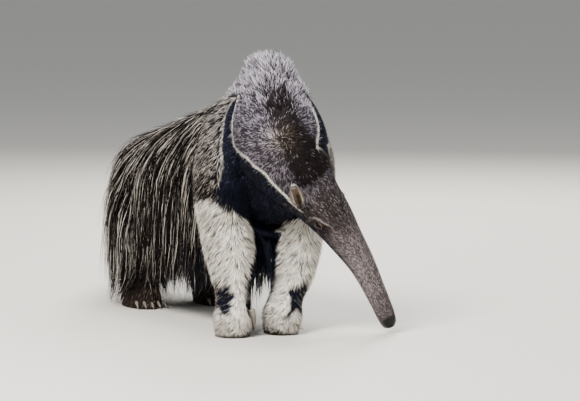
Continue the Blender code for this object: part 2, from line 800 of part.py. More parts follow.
def add_flank_locks(coat, trunk):
    columns = int(round((FLANK_TO - FLANK_FROM) / FLANK_STEP)) + 1
    for number, row in enumerate(FLANK_ROWS):
        for column in range(columns):
            y = FLANK_FROM + FLANK_STEP * (column + 0.5 * (number % 2))
            for sign in (-1, 1):
                at = y + random.uniform(-0.008, 0.008)
                angle = -sign * math.radians(row.round + random.uniform(-3, 3))
                root = trunk.point(place_at(trunk, at), angle)
                length = row.long * random.uniform(0.88, 1.10)
                if THIGH_FROM < y < THIGH_TO and row.round < 80:
                    length *= THIGH_LONGER
                lift = 0.005 * (column % 2) + random.uniform(0, 0.0015)
                low = min(row.low, 0.26 - 0.6 * length) + random.uniform(0, 0.02)
                coat.lay(root, flank_flow(sign, row, y), length, row.wide, lift, max(low, 0.04))


def add_crest_locks(coat, trunk):
    """The mane along the middle of the back, which lies back towards the tail."""
    for k in range(8):
        y = 0.150 + 0.078 * k
        root = trunk.point(place_at(trunk, y), math.radians(random.uniform(-6, 6)))

        def flow(point, s):
            return Vector((0, 1, -0.16 - 0.35 * s))

        length = 0.130 * random.uniform(0.9, 1.1)
        coat.lay(root, flow, length, 0.056, 0.005 * (k % 2), 0.2, 0.07)


def add_rump_locks(coat, trunk):
    """The long hair round the root of the tail, which falls back and down."""
    for number, tuft in enumerate(RUMP_TUFTS):
        for sign in (-1, 1):
            root = trunk.point(place_at(trunk, tuft.y), -sign * math.radians(tuft.round))
            drop = 0.25 + 0.5 * tuft.round / 90

            def flow(point, s, sign=sign, drop=drop):
                return Vector((sign * 0.12, 0.8, -drop - 0.5 * s))

            length = tuft.long * random.uniform(0.93, 1.07)
            coat.lay(root, flow, length, 0.074, 0.012 + 0.004 * (number % 2), 0.05)


def add_tail_locks(coat):
    """The tail's plume: long hair that hangs from both its sides and trails past its end."""
    bone = Loft(TAIL)
    for row in TAIL_ROWS:
        for k in range(row.count):
            t = row.start + (bone.last - 0.15 - row.start) * k / (row.count - 1)
            for sign in (-1, 1):
                _, along, _, _ = bone.frame(t)
                hang = row.hang * (1 - 0.45 * t / bone.last)

                def flow(point, s, along=along, hang=hang):
                    fall = hang * min(1.0, max(-0.3, (point.z - 0.030) / 0.08))
                    return Vector((along.x, along.y, along.z * (1 - s))) - Vector((0, 0, fall))

                turn = sign * (row.round + random.uniform(-4, 4))
                root = bone.point(t, math.radians(turn))
                length = row.long * random.uniform(0.9, 1.1)
                lift = 0.0045 * (k % 2) + random.uniform(0, 0.001)
                coat.lay(root, flow, length, row.wide, lift, 0.004)


def coated(piece, coat):
    """The piece with the coat's locks fused to it."""
    return combined(piece, coat.locks, "UNION", "MANIFOLD")


def main():
    clear_scene()
    random.seed(SEED)
    hindlegs = [mirrored(HINDLEG), HINDLEG]
    forms = [TRUNK, NECK_AND_HEAD, FORELEG_RIGHT, FORELEG_LEFT, TAIL] + hindlegs
    fine = fused("fine_body", forms)
    body = thinned(fine, "body", BODY_TRIANGLES)
    fine_head = thinned(fine, "fine_head", HEAD_BODY_TRIANGLES)
    bpy.data.objects.remove(fine)
    skin = tree(body)
    pieces = part_body(body, fine_head)
    add_head_forms(pieces)
    add_claws(pieces)
    trunk = Loft(TRUNK)
    others = [piece for name, piece in pieces.items() if name != "torso"]
    flanks = Coat(skin, pieces["torso"], others)
    add_flank_locks(flanks, trunk)
    add_crest_locks(flanks, trunk)
    add_rump_locks(flanks, trunk)
    pieces["torso"] = coated(pieces["torso"], flanks)
    others = [piece for name, piece in pieces.items() if name != "tail"]
    plume = Coat(skin, pieces["tail"], others)
    add_tail_locks(plume)
    pieces["tail"] = coated(pieces["tail"], plume)
    finish(pieces)


def finish(pieces):
    """Gives each piece its material and stands them all round the middle of the floor."""
    colours = {
        "coat_dark": material("coat_dark", (0.045, 0.035, 0.030), 0.9),
        "coat_grey": material("coat_grey", (0.200, 0.165, 0.145), 0.9),
        "coat_cream": material("coat_cream", (0.560, 0.500, 0.400), 0.9),
        "horn": material("horn", (0.160, 0.140, 0.120), 0.5),
        "eye": material("eye", (0.012, 0.009, 0.008), 0.12),
    }
    wears = {
        "head": "coat_grey",
        "neck": "coat_grey",
        "ear": "coat_grey",
        "foreleg": "coat_cream",
        "forefoot": "coat_cream",
        "claw": "horn",
        "eye": "eye",
    }
    corners = []
    for name, piece in pieces.items():
        piece.name = name
        piece.data.name = name
        piece.data.materials.clear()
        piece.data.materials.append(colours[wears.get(name.split("_")[0], "coat_dark")])
        piece.data.shade_smooth()
        piece.data.set_sharp_from_angle(angle=math.radians(35))
        corners += [Vector(corner) for corner in piece.bound_box]
    middle = bpy.data.objects.new("anteater", None)
    bpy.context.scene.collection.objects.link(middle)
    for axis in (0, 1):
        values = [corner[axis] for corner in corners]
        middle.location[axis] = -(min(values) + max(values)) / 2
    for piece in pieces.values():
        piece.parent = middle


main()
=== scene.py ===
"""The looks of the giant anteater: one skin, its coat in strands, ears, eyes, claws and light.

Places are given in the frame of the body's own rings, where the animal faces -Y, its right
side is at -X and the floor is at 0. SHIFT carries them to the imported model. A place on a form
is t, which counts along its rings, and a, in degrees round from its back to the right.
"""

import math
from collections import namedtuple

import bmesh
import bpy
import numpy as np
from mathutils import Matrix, Vector
from mathutils.bvhtree import BVHTree
from mathutils.kdtree import KDTree


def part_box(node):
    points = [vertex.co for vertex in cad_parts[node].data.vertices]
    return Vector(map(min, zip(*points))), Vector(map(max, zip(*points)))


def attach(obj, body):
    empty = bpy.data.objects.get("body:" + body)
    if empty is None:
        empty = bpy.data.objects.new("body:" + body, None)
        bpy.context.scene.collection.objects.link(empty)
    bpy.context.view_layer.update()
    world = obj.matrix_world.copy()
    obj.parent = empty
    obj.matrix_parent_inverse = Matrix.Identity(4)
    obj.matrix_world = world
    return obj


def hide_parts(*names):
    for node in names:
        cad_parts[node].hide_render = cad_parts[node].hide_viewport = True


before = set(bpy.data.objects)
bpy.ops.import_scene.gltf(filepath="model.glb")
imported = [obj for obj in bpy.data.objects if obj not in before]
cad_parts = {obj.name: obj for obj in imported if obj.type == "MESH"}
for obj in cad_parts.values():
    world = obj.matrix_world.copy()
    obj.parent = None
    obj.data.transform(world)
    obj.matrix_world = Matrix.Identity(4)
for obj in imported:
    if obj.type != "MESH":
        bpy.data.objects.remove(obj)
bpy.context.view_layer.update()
rng = np.random.default_rng(7)
QUICK = 1.0

# The body's rings: centre, half width, half depth, how deep the coat is there, the way its
# back faces, and how much narrower its back is than its belly
UP = (0, 0, 1)
FRONT = (0, -1, 0)
HEAD_BACK = (0.20, -0.89, 0.41)
Ring = namedtuple("Ring", "at wide deep coat back egg", defaults=(FRONT, 0))

TRUNK = [
    Ring((0.000, 0.800, 0.298), 0.040, 0.042, 0.004, UP),
    Ring((0.000, 0.745, 0.288), 0.070, 0.070, 0.005, UP),
    Ring((0.000, 0.680, 0.275), 0.100, 0.098, 0.006, UP),
    Ring((0.000, 0.600, 0.268), 0.120, 0.118, 0.006, UP, 0.06),
    Ring((0.004, 0.480, 0.282), 0.124, 0.125, 0.006, UP, 0.08),
    Ring((0.008, 0.350, 0.303), 0.124, 0.136, 0.007, UP, 0.12),
    Ring((0.016, 0.220, 0.330), 0.118, 0.146, 0.008, UP, 0.18),
    Ring((0.026, 0.110, 0.364), 0.108, 0.166, 0.009, UP, 0.24),
    Ring((0.034, 0.030, 0.386), 0.106, 0.198, 0.012, UP, 0.26),
    Ring((0.034, -0.030, 0.374), 0.092, 0.156, 0.010, UP, 0.05),
    Ring((0.034, -0.062, 0.368), 0.066, 0.118, 0.008, UP),
]

NECK_AND_HEAD = [
    Ring((0.032, 0.100, 0.425), 0.070, 0.090, 0.012, UP),
    Ring((0.034, 0.040, 0.450), 0.092, 0.112, 0.013, (0.0, -0.35, 0.94)),
    Ring((0.030, -0.015, 0.430), 0.104, 0.108, 0.009, (0.0, -0.60, 0.80)),
    Ring((0.030, -0.062, 0.392), 0.104, 0.098, 0.006, (0.05, -0.76, 0.65)),
    Ring((0.044, -0.095, 0.350), 0.086, 0.083, 0.005, (0.12, -0.84, 0.52)),
    Ring((0.075, -0.112, 0.303), 0.060, 0.063, 0.0035, HEAD_BACK),
    Ring((0.119, -0.109, 0.251), 0.047, 0.049, 0.0022, HEAD_BACK),
    Ring((0.148, -0.104, 0.212), 0.038, 0.041, 0.0016, HEAD_BACK),
    Ring((0.192, -0.098, 0.150), 0.028, 0.030, 0.0012, HEAD_BACK),
    Ring((0.223, -0.098, 0.090), 0.022, 0.024, 0.0008, HEAD_BACK),
    Ring((0.2465, -0.102, 0.038), 0.0185, 0.0195, 0.0003, HEAD_BACK),
    Ring((0.2535, -0.104, 0.018), 0.0150, 0.0155, 0.0, HEAD_BACK),
]

FORELEG_RIGHT = [
    Ring((-0.030, 0.075, 0.480), 0.030, 0.045, 0.009),
    Ring((-0.055, 0.060, 0.420), 0.050, 0.068, 0.009),
    Ring((-0.074, 0.034, 0.350), 0.060, 0.078, 0.010),
    Ring((-0.074, 0.036, 0.285), 0.060, 0.074, 0.010),
    Ring((-0.066, 0.036, 0.230), 0.058, 0.066, 0.010),
    Ring((-0.062, 0.014, 0.170), 0.056, 0.060, 0.009),
    Ring((-0.064, -0.008, 0.115), 0.046, 0.048, 0.008),
    Ring((-0.069, -0.026, 0.072), 0.040, 0.042, 0.006),
    Ring((-0.074, -0.040, 0.040), 0.044, 0.050, 0.004),
    Ring((-0.076, -0.042, 0.008), 0.038, 0.044, 0.003),
    Ring((-0.076, -0.042, -0.012), 0.034, 0.040, 0.003),
]

FORELEG_LEFT = [
    Ring((0.090, 0.075, 0.480), 0.030, 0.045, 0.009),
    Ring((0.108, 0.060, 0.420), 0.050, 0.068, 0.009),
    Ring((0.118, 0.038, 0.350), 0.060, 0.078, 0.010),
    Ring((0.116, 0.045, 0.285), 0.060, 0.074, 0.010),
    Ring((0.106, 0.048, 0.230), 0.057, 0.066, 0.010),
    Ring((0.094, 0.028, 0.175), 0.054, 0.060, 0.009),
    Ring((0.074, 0.002, 0.115), 0.046, 0.048, 0.008),
    Ring((0.052, -0.018, 0.072), 0.039, 0.042, 0.006),
    Ring((0.040, -0.030, 0.040), 0.044, 0.050, 0.004),
    Ring((0.036, -0.032, 0.008), 0.038, 0.044, 0.003),
    Ring((0.036, -0.032, -0.012), 0.034, 0.040, 0.003),
]

HINDLEG_LEFT = [
    Ring((0.055, 0.600, 0.300), 0.045, 0.075, 0.008),
    Ring((0.078, 0.575, 0.240), 0.060, 0.095, 0.010),
    Ring((0.086, 0.550, 0.180), 0.056, 0.084, 0.010),
    Ring((0.086, 0.575, 0.128), 0.045, 0.058, 0.009),
    Ring((0.084, 0.598, 0.082), 0.038, 0.045, 0.007),
    Ring((0.084, 0.582, 0.036), 0.041, 0.062, 0.005),
    Ring((0.085, 0.555, 0.006), 0.043, 0.080, 0.003),
    Ring((0.085, 0.555, -0.012), 0.041, 0.078, 0.003),
]
HINDLEG_RIGHT = [ring._replace(at=(-ring.at[0], ring.at[1], ring.at[2])) for ring in HINDLEG_LEFT]

TAIL = [
    Ring((0.000, 0.745, 0.290), 0.052, 0.055, 0.003, UP),
    Ring((0.008, 0.810, 0.292), 0.044, 0.048, 0.003, UP),
    Ring((0.038, 0.900, 0.262), 0.038, 0.042, 0.003, UP),
    Ring((0.090, 1.010, 0.205), 0.032, 0.036, 0.003, UP),
    Ring((0.155, 1.130, 0.150), 0.026, 0.031, 0.003, UP),
    Ring((0.226, 1.250, 0.112), 0.021, 0.026, 0.003, UP),
    Ring((0.300, 1.355, 0.088), 0.015, 0.020, 0.002, UP),
    Ring((0.338, 1.405, 0.078), 0.008, 0.012, 0.002, UP),
]

FORM_RINGS = [TRUNK, NECK_AND_HEAD, FORELEG_RIGHT, FORELEG_LEFT, HINDLEG_RIGHT, HINDLEG_LEFT, TAIL]
TRUNK_ID, NECK_ID, FORE_R, FORE_L, HIND_R, HIND_L, TAIL_ID, EAR_ID = range(8)
FORELEGS = (FORE_R, FORE_L)
SIDES = (("right", 1), ("left", -1))
MIDDLE = 0.034

# Head places, as in the solids
EYE_AT, EYE_ROUND = 5.70, 77
EAR_AT, EAR_ROUND = 4.98, 75
NOSTRIL_AT, NOSTRIL_ROUND = 10.9, 38
MOUTH_FROM, MOUTH_ROUND = 9.7, 128
EYE_RADIUS = 0.0100
LID_WIDE, LID_DEEP = 0.0006, 0.0007
EAR_LENGTH, EAR_WIDTH, EAR_RISE = 0.058, 0.0235, 0.010
EAR_WAYS = {"right": (0.62, 1.0, 0.08), "left": (0.25, 1.0, 0.25)}

Claw = namedtuple("Claw", "name root way bend long thick turn")
FORE_CLAWS = [
    Claw("claw_long", (0.026, -0.020, 0.058), (0.18, -0.10, -0.80), (0, 1, 0.30), 0.066, 0.0085, 82),
    Claw("claw_inner", (0.028, 0.006, 0.044), (0.16, 0.20, -0.80), (0, 1, 0.20), 0.044, 0.0062, 60),
    Claw("claw_outer", (-0.024, -0.036, 0.017), (-0.35, -0.90, -0.20), (0, 0, -1), 0.016, 0.0040, 20),
]
HIND_CLAWS = 5
HIND_CLAW_SPREAD = 0.0155
# The right forefoot's long claw stands this far inward and forward, to show beside the foot
PROUD = (0.006, -0.006, 0)
BARE_CLAWS = ("claw_long_right", "claw_inner_right")

# How low the skin goes, how many strands and clumps each coat has, and how wide its strands are
SKIN_LOW = 0.0004
STRANDS = {"front": 55000, "head": 44000, "foreleg": 15500, "hindleg": 4200, "belly": 3300,
           "flank": 11400, "tail": 5000, "ear": 2200}
GUIDES = {"belly": 330, "flank": 3600, "tail": 520}
WIDTH = {"front": 0.0015, "head": [0.0015, 0.0011, 0.0009], "foreleg": 0.0014, "hindleg": 0.0016,
         "belly": 0.0020, "flank": 0.0016, "tail": 0.0026, "ear": 0.0008}

# The markings, as places along a form and degrees round from its back
WHITE_RIGHT = [(1.15, 50), (1.25, 60), (1.35, 70), (1.55, 80), (1.70, 85), (1.95, 90), (2.25, 95),
               (2.55, 100), (2.80, 95), (3.05, 90), (3.25, 85), (3.50, 84), (3.70, 80), (3.85, 77),
               (4.10, 79), (4.30, 80), (4.55, 81), (4.80, 84), (5.05, 85), (5.20, 86)]
WHITE_LEFT = [(1.15, -4), (1.35, -10), (1.70, -16), (2.00, -20), (2.30, -30), (2.45, -35),
              (2.75, -36), (3.15, -35), (3.50, -30), (3.75, -22), (3.95, -18), (4.10, -32),
              (4.30, -44), (4.55, -56), (4.80, -69), (5.05, -75), (5.20, -78)]
BACK_RIGHT = [(5.0, 22), (6.0, 31), (7.0, 41), (8.0, 47)]
BACK_LEFT = [(5.0, -22), (6.0, -31), (7.0, -37), (8.0, -36)]
REAR_Z = [0.303, 0.318, 0.332, 0.356, 0.380, 0.410, 0.433, 0.456, 0.474, 0.493, 0.520, 0.545]
REAR_Y = [-0.029, -0.034, -0.037, -0.038, -0.031, -0.015, 0.000, 0.019, 0.034, 0.043, 0.045, 0.046]
CREAM_EDGE_RIGHT = [(2.65, 35), (2.90, 25), (3.10, 10), (3.25, -5), (3.75, -35), (4.20, -55),
                    (4.75, -60), (5.00, -52), (5.55, -32), (6.25, -20), (7.25, -24), (8.10, -38),
                    (8.60, -60), (9.20, -80)]
CREAM_EDGE_LEFT = [(2.65, 35), (2.95, 32), (3.25, 22), (3.55, -2), (3.90, -35), (4.20, -55),
                   (4.75, -75), (6.50, -80), (8.00, -110), (9.00, -150)]
STRIPE_RIGHT = [(1.60, 27), (2.10, 30), (2.55, 34), (3.00, 30), (3.55, 30), (3.90, 39), (4.45, 45)]
STRIPE_LEFT = [(1.85, -4), (3.05, -5), (3.65, -12), (3.90, -24), (4.15, -50), (4.45, -80)]
WHORL = np.array(Vector((-0.005, -0.147, 0.424)))

# The pale streak over each eye and the dark line before it, along the head and up from the eye
EYE_STREAK = np.array([(-0.018, -0.002), (-0.011, 0.0085), (-0.002, 0.0122), (0.006, 0.0122),
                       (0.014, 0.0145), (0.027, 0.018)])
EYE_LINE = np.array([(0.0085, -0.0015), (0.018, 0.0010), (0.036, 0.0005), (0.056, -0.001)])

# The camera: the point at the picture's middle, and the way it looks
TARGET = (0.0567, -0.0299, 0.2810)
TURN, RISE, AWAY, PER_METRE = 20.0, 5.0, 8.0, 475.0
PICTURE_WIDE, SENSOR = 580, 36


def rgb(red, green, blue):
    """A colour in linear light from screen values of 0 to 255."""
    screen = np.array((red, green, blue)) / 255.0
    return np.where(screen <= 0.04045, screen / 12.92, ((screen + 0.055) / 1.055) ** 2.4)


BLACK = rgb(21, 23, 36)
DARK = rgb(30, 23, 21)
BROWN = rgb(56, 44, 38)
TAN = rgb(168, 150, 130)
SILVER = rgb(200, 191, 195)
MAUVE = rgb(110, 100, 114)
SOOT = rgb(38, 31, 33)
WHITE = rgb(240, 234, 222)
CREAM = rgb(250, 243, 232)
HEAD = rgb(80, 69, 67)
SNOUT = rgb(124, 112, 112)


def unit(v):
    return v / np.maximum(np.linalg.norm(v, axis=-1, keepdims=True), 1e-9)


def dot(a, b):
    return (a * b).sum(axis=-1, keepdims=True)


def ramp(x, low, high):
    """0 at low, 1 at high, smooth between."""
    s = np.clip((x - low) / (high - low), 0, 1)
    return s * s * (3 - 2 * s)


def bell(x, middle, wide):
    """1 at middle, and less the further x is from it."""
    return np.exp(-(((x - middle) / wide) ** 2))


def between(x, low, high, soft=2.0):
    """1 from low to high and 0 outside them, with soft edges."""
    return ramp(x, low - soft, low + soft) * ramp(-x, -high - soft, -high + soft)


def curve(pairs, x):
    """The second values of the pairs, read at x along the first."""
    return np.interp(x, [p[0] for p in pairs], [p[1] for p in pairs])


def blend(under, over, much):
    return under * (1 - much[:, None]) + over * much[:, None]


def painted(root, tip, layers):
    """Root and tip colours under layers: how much, then a colour and its share for each."""
    for much, low, low_share, high, high_share in layers:
        root = blend(root, low, much * low_share)
        tip = blend(tip, high, much * high_share)
    return root, tip


def tree_of(points):
    tree = KDTree(len(points))
    for i, point in enumerate(points):
        tree.insert(point, i)
    tree.balance()
    return tree


def nearest_of(tree, points):
    """The number of the tree's point that is nearest to each of the points."""
    return np.array([tree.find(point)[1] for point in points])


def distance_to(points, path):
    """How far each point is from the path, a row of points."""
    best = np.full(len(points), 1e9)
    for a, b in zip(path, path[1:]):
        run = b - a
        s = np.clip(((points - a) @ run) / max(run @ run, 1e-12), 0, 1)
        best = np.minimum(best, np.linalg.norm(points - a - s[:, None] * run, axis=1))
    return best


def smooth_between(values, t):
    """The Catmull-Rom values at the places t, which count along the listed rows."""
    padded = np.concatenate([2 * values[:1] - values[1:2], values, 2 * values[-1:] - values[-2:-1]])
    i = np.clip(np.floor(t).astype(int), 0, len(values) - 2)
    f = t - i
    if values.ndim > 1:
        f = f[:, None]
    p0, p1, p2, p3 = (padded[i + k] for k in range(4))
    return 0.5 * (2 * p1 + (p2 - p0) * f + (2 * p0 - 5 * p1 + 4 * p2 - p3) * f**2
                  + (3 * p1 - p0 - 3 * p2 + p3) * f**3)


class Form:
    """A smooth tube through rings, read at many places at once."""

    def __init__(self, rings):
        for name in Ring._fields:
            setattr(self, name, np.array([getattr(ring, name) for ring in rings], float))
        self.back = unit(self.back)
        self.last = len(rings) - 1

    def frame(self, t):
        """Centre, the way along, the way its back faces and the way to its side, at t."""
        t = np.atleast_1d(np.asarray(t, float))
        low, high = np.maximum(0, t - 0.02), np.minimum(self.last, t + 0.02)
        along = unit(smooth_between(self.at, high) - smooth_between(self.at, low))
        back = smooth_between(self.back, t)
        back = unit(back - along * dot(back, along))
        return smooth_between(self.at, t), along, back, np.cross(along, back)

    def point(self, t, degrees, coat=0.0):
        """Points on the coat's outside, or on the skin under it where coat is 1."""
        t = np.atleast_1d(np.asarray(t, float))
        angle = np.radians(np.atleast_1d(degrees))
        centre, _, back, side = self.frame(t)
        grow = -coat * smooth_between(self.coat, t)
        wide = smooth_between(self.wide, t) + grow
        deep = smooth_between(self.deep, t) + grow
        egg = smooth_between(self.egg, t)
        across = wide * np.sin(angle) * (1 - egg * np.cos(angle))
        return centre + side * across[:, None] + back * (deep * np.cos(angle))[:, None]

    def ways(self, t, a):
        """The ways along the form and round it at each place."""
        _, along, back, side = self.frame(np.clip(t, 0, self.last))
        turned = np.radians(a)[:, None]
        return along, side * np.cos(turned) - back * np.sin(turned)


FORMS = [Form(rings) for rings in FORM_RINGS]


def tube(bm, loops):
    """Adds the closed skin over a row of loops of points, flat at both ends."""
    rows = [[bm.verts.new(point) for point in loop] for loop in loops]
    sides = len(rows[0])
    for low, high in zip(rows, rows[1:]):
        for k in range(sides):
            n = (k + 1) % sides
            bm.faces.new((low[k], low[n], high[n], high[k]))
    bm.faces.new(rows[0][::-1])
    bm.faces.new(rows[-1])


def linked(name, mesh):
    obj = bpy.data.objects.new(name, mesh)
    bpy.context.scene.collection.objects.link(obj)
    return obj


def mesh_object(name, bm):
    bmesh.ops.recalc_face_normals(bm, faces=bm.faces)
    mesh = bpy.data.meshes.new(name)
    bm.to_mesh(mesh)
    bm.free()
    mesh.shade_smooth()
    return linked(name, mesh)


def horn_loops(claw, foot, inward, steps, sides):
    """The loops of a curved claw, thickest at its root. inward is the sign of its X."""
    flip = Matrix.Diagonal((inward, 1, 1))
    way = (flip @ Vector(claw.way)).normalized()
    bend = flip @ Vector(claw.bend)
    bend = (bend - bend.project(way)).normalized()
    side = way.cross(bend)
    turn = math.radians(claw.turn)
    radius = claw.long / turn
    root = Vector(foot) + flip @ Vector(claw.root)
    loops = []
    for step in range(steps + 1):
        s = step / steps
        angle = turn * s
        centre = root + way * (radius * math.sin(angle)) + bend * (radius * (1 - math.cos(angle)))
        across = bend * math.cos(angle) - way * math.sin(angle)
        size = claw.thick * (1 - 0.86 * s**1.4)
        if steps > 4 and s > 0.96:
            size *= 0.55
        loops.append([
            centre + side * (size * 0.8 * math.cos(a)) + across * (size * math.sin(a))
            for a in (2 * math.pi * n / sides for n in range(sides))
        ])
    return loops


def all_claws():
    """Each claw's node name, shape, foot and side."""
    found = []
    for (side, inward), rings in zip(SIDES, (FORELEG_RIGHT, FORELEG_LEFT)):
        foot = (rings[8].at[0], rings[8].at[1], 0)
        for claw in FORE_CLAWS:
            proud = PROUD if claw.name == "claw_long" and side == "right" else (0, 0, 0)
            place = tuple(f + p for f, p in zip(foot, proud))
            found.append((f"{claw.name}_{side}", claw, place, inward))
    for (side, inward), rings in zip(SIDES, (HINDLEG_RIGHT, HINDLEG_LEFT)):
        foot = (rings[6].at[0], rings[6].at[1] - rings[6].deep, 0)
        for k in range(HIND_CLAWS):
            across = (k - (HIND_CLAWS - 1) / 2) * HIND_CLAW_SPREAD
            root = (across, 0.010 + 9.0 * across**2, 0.015)
            claw = Claw("", root, (across * 4, -0.92, -0.26), (0, 0, -1), 0.024, 0.0045, 28)
            found.append((f"claw_{k + 1}_hind_{side}", claw, foot, inward))
    return found


def packed_shift():
    """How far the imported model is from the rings' own frame, read from one hind claw."""
    name, claw, foot, inward = all_claws()[8]
    points = np.array([p for loop in horn_loops(claw, foot, inward, 4, 6) for p in loop])
    low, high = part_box(name)
    shift = (np.array(low) + np.array(high)) / 2 - (points.min(axis=0) + points.max(axis=0)) / 2
    shift[2] = 0
    return shift


SHIFT = packed_shift()
CLAW_LINES = [
    np.array([sum(loop, Vector()) / len(loop) for loop in horn_loops(claw, foot, inward, 10, 6)])
    for name, claw, foot, inward in all_claws() if name in BARE_CLAWS
]


# Materials

def new_material(name, roughness=0.5):
    made = bpy.data.materials.new(name)
    made.use_nodes = True
    tree = made.node_tree
    shader = tree.nodes["Principled BSDF"]
    shader.inputs["Roughness"].default_value = roughness
    return made, tree, shader


def node(tree, kind, **values):
    made = tree.nodes.new(kind)
    for name, value in values.items():
        if name in made.inputs:
            made.inputs[name].default_value = value
        else:
            setattr(made, name, value)
    return made


def read_attribute(tree, name, output):
    return node(tree, "ShaderNodeAttribute", attribute_name=name).outputs[output]


def map_range(tree, value, low, high, socket):
    """Feeds the socket with the value carried from 0 and 1 to low and high."""
    made = node(tree, "ShaderNodeMapRange", **{"To Min": low, "To Max": high})
    tree.links.new(value, made.inputs["Value"])
    tree.links.new(made.outputs["Result"], socket)


def mottle(tree, shader, noise, low, high):
    """Multiplies the base colour by the noise, from low to high, and gives the colour's socket."""
    mix = node(tree, "ShaderNodeMix", data_type="RGBA", blend_type="MULTIPLY")
    mix.inputs[0].default_value = 1.0
    map_range(tree, noise.outputs["Fac"], low, high, mix.inputs[7])
    tree.links.new(mix.outputs[2], shader.inputs["Base Color"])
    return mix.inputs[6]


def roughen(tree, shader, layers):
    """Bumps in a row, each of a socket of heights, a strength and a depth."""
    before = None
    for heights, strength, depth in layers:
        bump = node(tree, "ShaderNodeBump", Strength=strength, Distance=depth)
        tree.links.new(heights, bump.inputs["Height"])
        if before:
            tree.links.new(before.outputs["Normal"], bump.inputs["Normal"])
        before = bump
    tree.links.new(before.outputs["Normal"], shader.inputs["Normal"])


def hair_material(name, roughness, gloss):
    """Coat coloured strand by strand, and mottled along it."""
    made, tree, shader = new_material(name, roughness)
    noise = node(tree, "ShaderNodeTexNoise", Scale=900.0, Detail=3.0)
    tree.links.new(read_attribute(tree, "Tint", "Color"), mottle(tree, shader, noise, 0.65, 1.35))
    shader.inputs["Specular IOR Level"].default_value = gloss
    return made


def skin_material():
    """Hide under the coat: the coat's markings, with pores, wrinkles and short hair's bump."""
    made, tree, shader = new_material("hide")
    wet = read_attribute(tree, "Wet", "Fac")
    place = node(tree, "ShaderNodeTexCoord")
    fine = node(tree, "ShaderNodeTexNoise", Scale=700.0, Detail=6.0)
    broad = node(tree, "ShaderNodeTexNoise", Scale=90.0, Detail=5.0)
    cells = node(tree, "ShaderNodeTexVoronoi", Scale=420.0)
    for texture in (fine, broad, cells):
        tree.links.new(place.outputs["Object"], texture.inputs["Vector"])
    tree.links.new(read_attribute(tree, "Tint", "Color"), mottle(tree, shader, fine, 0.55, 1.45))
    map_range(tree, wet, 0.72, 0.36, shader.inputs["Roughness"])
    map_range(tree, wet, 0.06, 0.2, shader.inputs["Specular IOR Level"])
    roughen(tree, shader, [(fine.outputs["Fac"], 0.5, 0.0008), (broad.outputs["Fac"], 0.35, 0.0015),
                           (cells.outputs["Distance"], 0.3, 0.0006)])
    return made


def horn_material():
    """Dull horn with streaks along the claw."""
    made, tree, shader = new_material("claw_horn", 0.38)
    place = node(tree, "ShaderNodeTexCoord")
    squeeze = node(tree, "ShaderNodeMapping", Scale=(900, 900, 60))
    streaks = node(tree, "ShaderNodeTexNoise", Scale=1.0, Detail=5.0)
    colours = node(tree, "ShaderNodeValToRGB")
    steps = zip(colours.color_ramp.elements, (0.3, 0.75), ((62, 56, 52), (158, 148, 134)))
    for step, at, colour in steps:
        step.position = at
        step.color = (*rgb(*colour), 1)
    tree.links.new(place.outputs["Object"], squeeze.inputs["Vector"])
    tree.links.new(squeeze.outputs["Vector"], streaks.inputs["Vector"])
    tree.links.new(streaks.outputs["Fac"], colours.inputs["Fac"])
    tree.links.new(colours.outputs["Color"], shader.inputs["Base Color"])
    roughen(tree, shader, [(streaks.outputs["Fac"], 0.4, 0.0004)])
    return made


def eye_material():
    """A dark eye with a wet front."""
    made, tree, shader = new_material("eye_wet", 0.06)
    tree.links.new(read_attribute(tree, "Tint", "Color"), shader.inputs["Base Color"])
    shader.inputs["Specular IOR Level"].default_value = 0.12
    return made


def floor_material():
    """A pale floor, very slightly uneven in colour."""
    made, tree, shader = new_material("floor_pale", 0.85)
    noise = node(tree, "ShaderNodeTexNoise", Scale=3.0, Detail=4.0)
    mottle(tree, shader, noise, 0.97, 1.03).default_value = (*rgb(214, 208, 198), 1)
    return made


MATERIALS = {
    "dark": hair_material("hair_dark", 0.45, 0.05),
    "grey": hair_material("hair_grey", 0.5, 0.10),
    "cream": hair_material("hair_cream", 0.55, 0.10),
}
HIDE = skin_material()


def add_layer(mesh, name, kind, field, values):
    """Gives each point of the mesh its own value."""
    layer = mesh.attributes.new(name, kind, "POINT")
    layer.data.foreach_set(field, np.asarray(values, np.float32).ravel())


def add_tint(mesh, colours):
    add_layer(mesh, "Tint", "FLOAT_COLOR", "color", np.insert(colours, 3, 1.0, axis=1))


def add_wet(mesh, values):
    add_layer(mesh, "Wet", "FLOAT", "value", values)


def finish_piece(obj, slot, *nodes):
    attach(obj, "root")
    if nodes:
        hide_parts(*nodes)


def place_mesh(name, mesh, points, material, slot, *nodes):
    """Puts the mesh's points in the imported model's frame, and finishes the piece."""
    mesh.vertices.foreach_set("co", (points + SHIFT).astype(np.float32).ravel())
    mesh.update()
    mesh.shade_smooth()
    mesh.materials.clear()
    mesh.materials.append(material)
    finish_piece(linked(name, mesh), slot, *nodes)


# The skin

SKIN_VOXEL = 0.0036
ATLAS_STEP, ATLAS_DEGREES = 0.08, 6.0


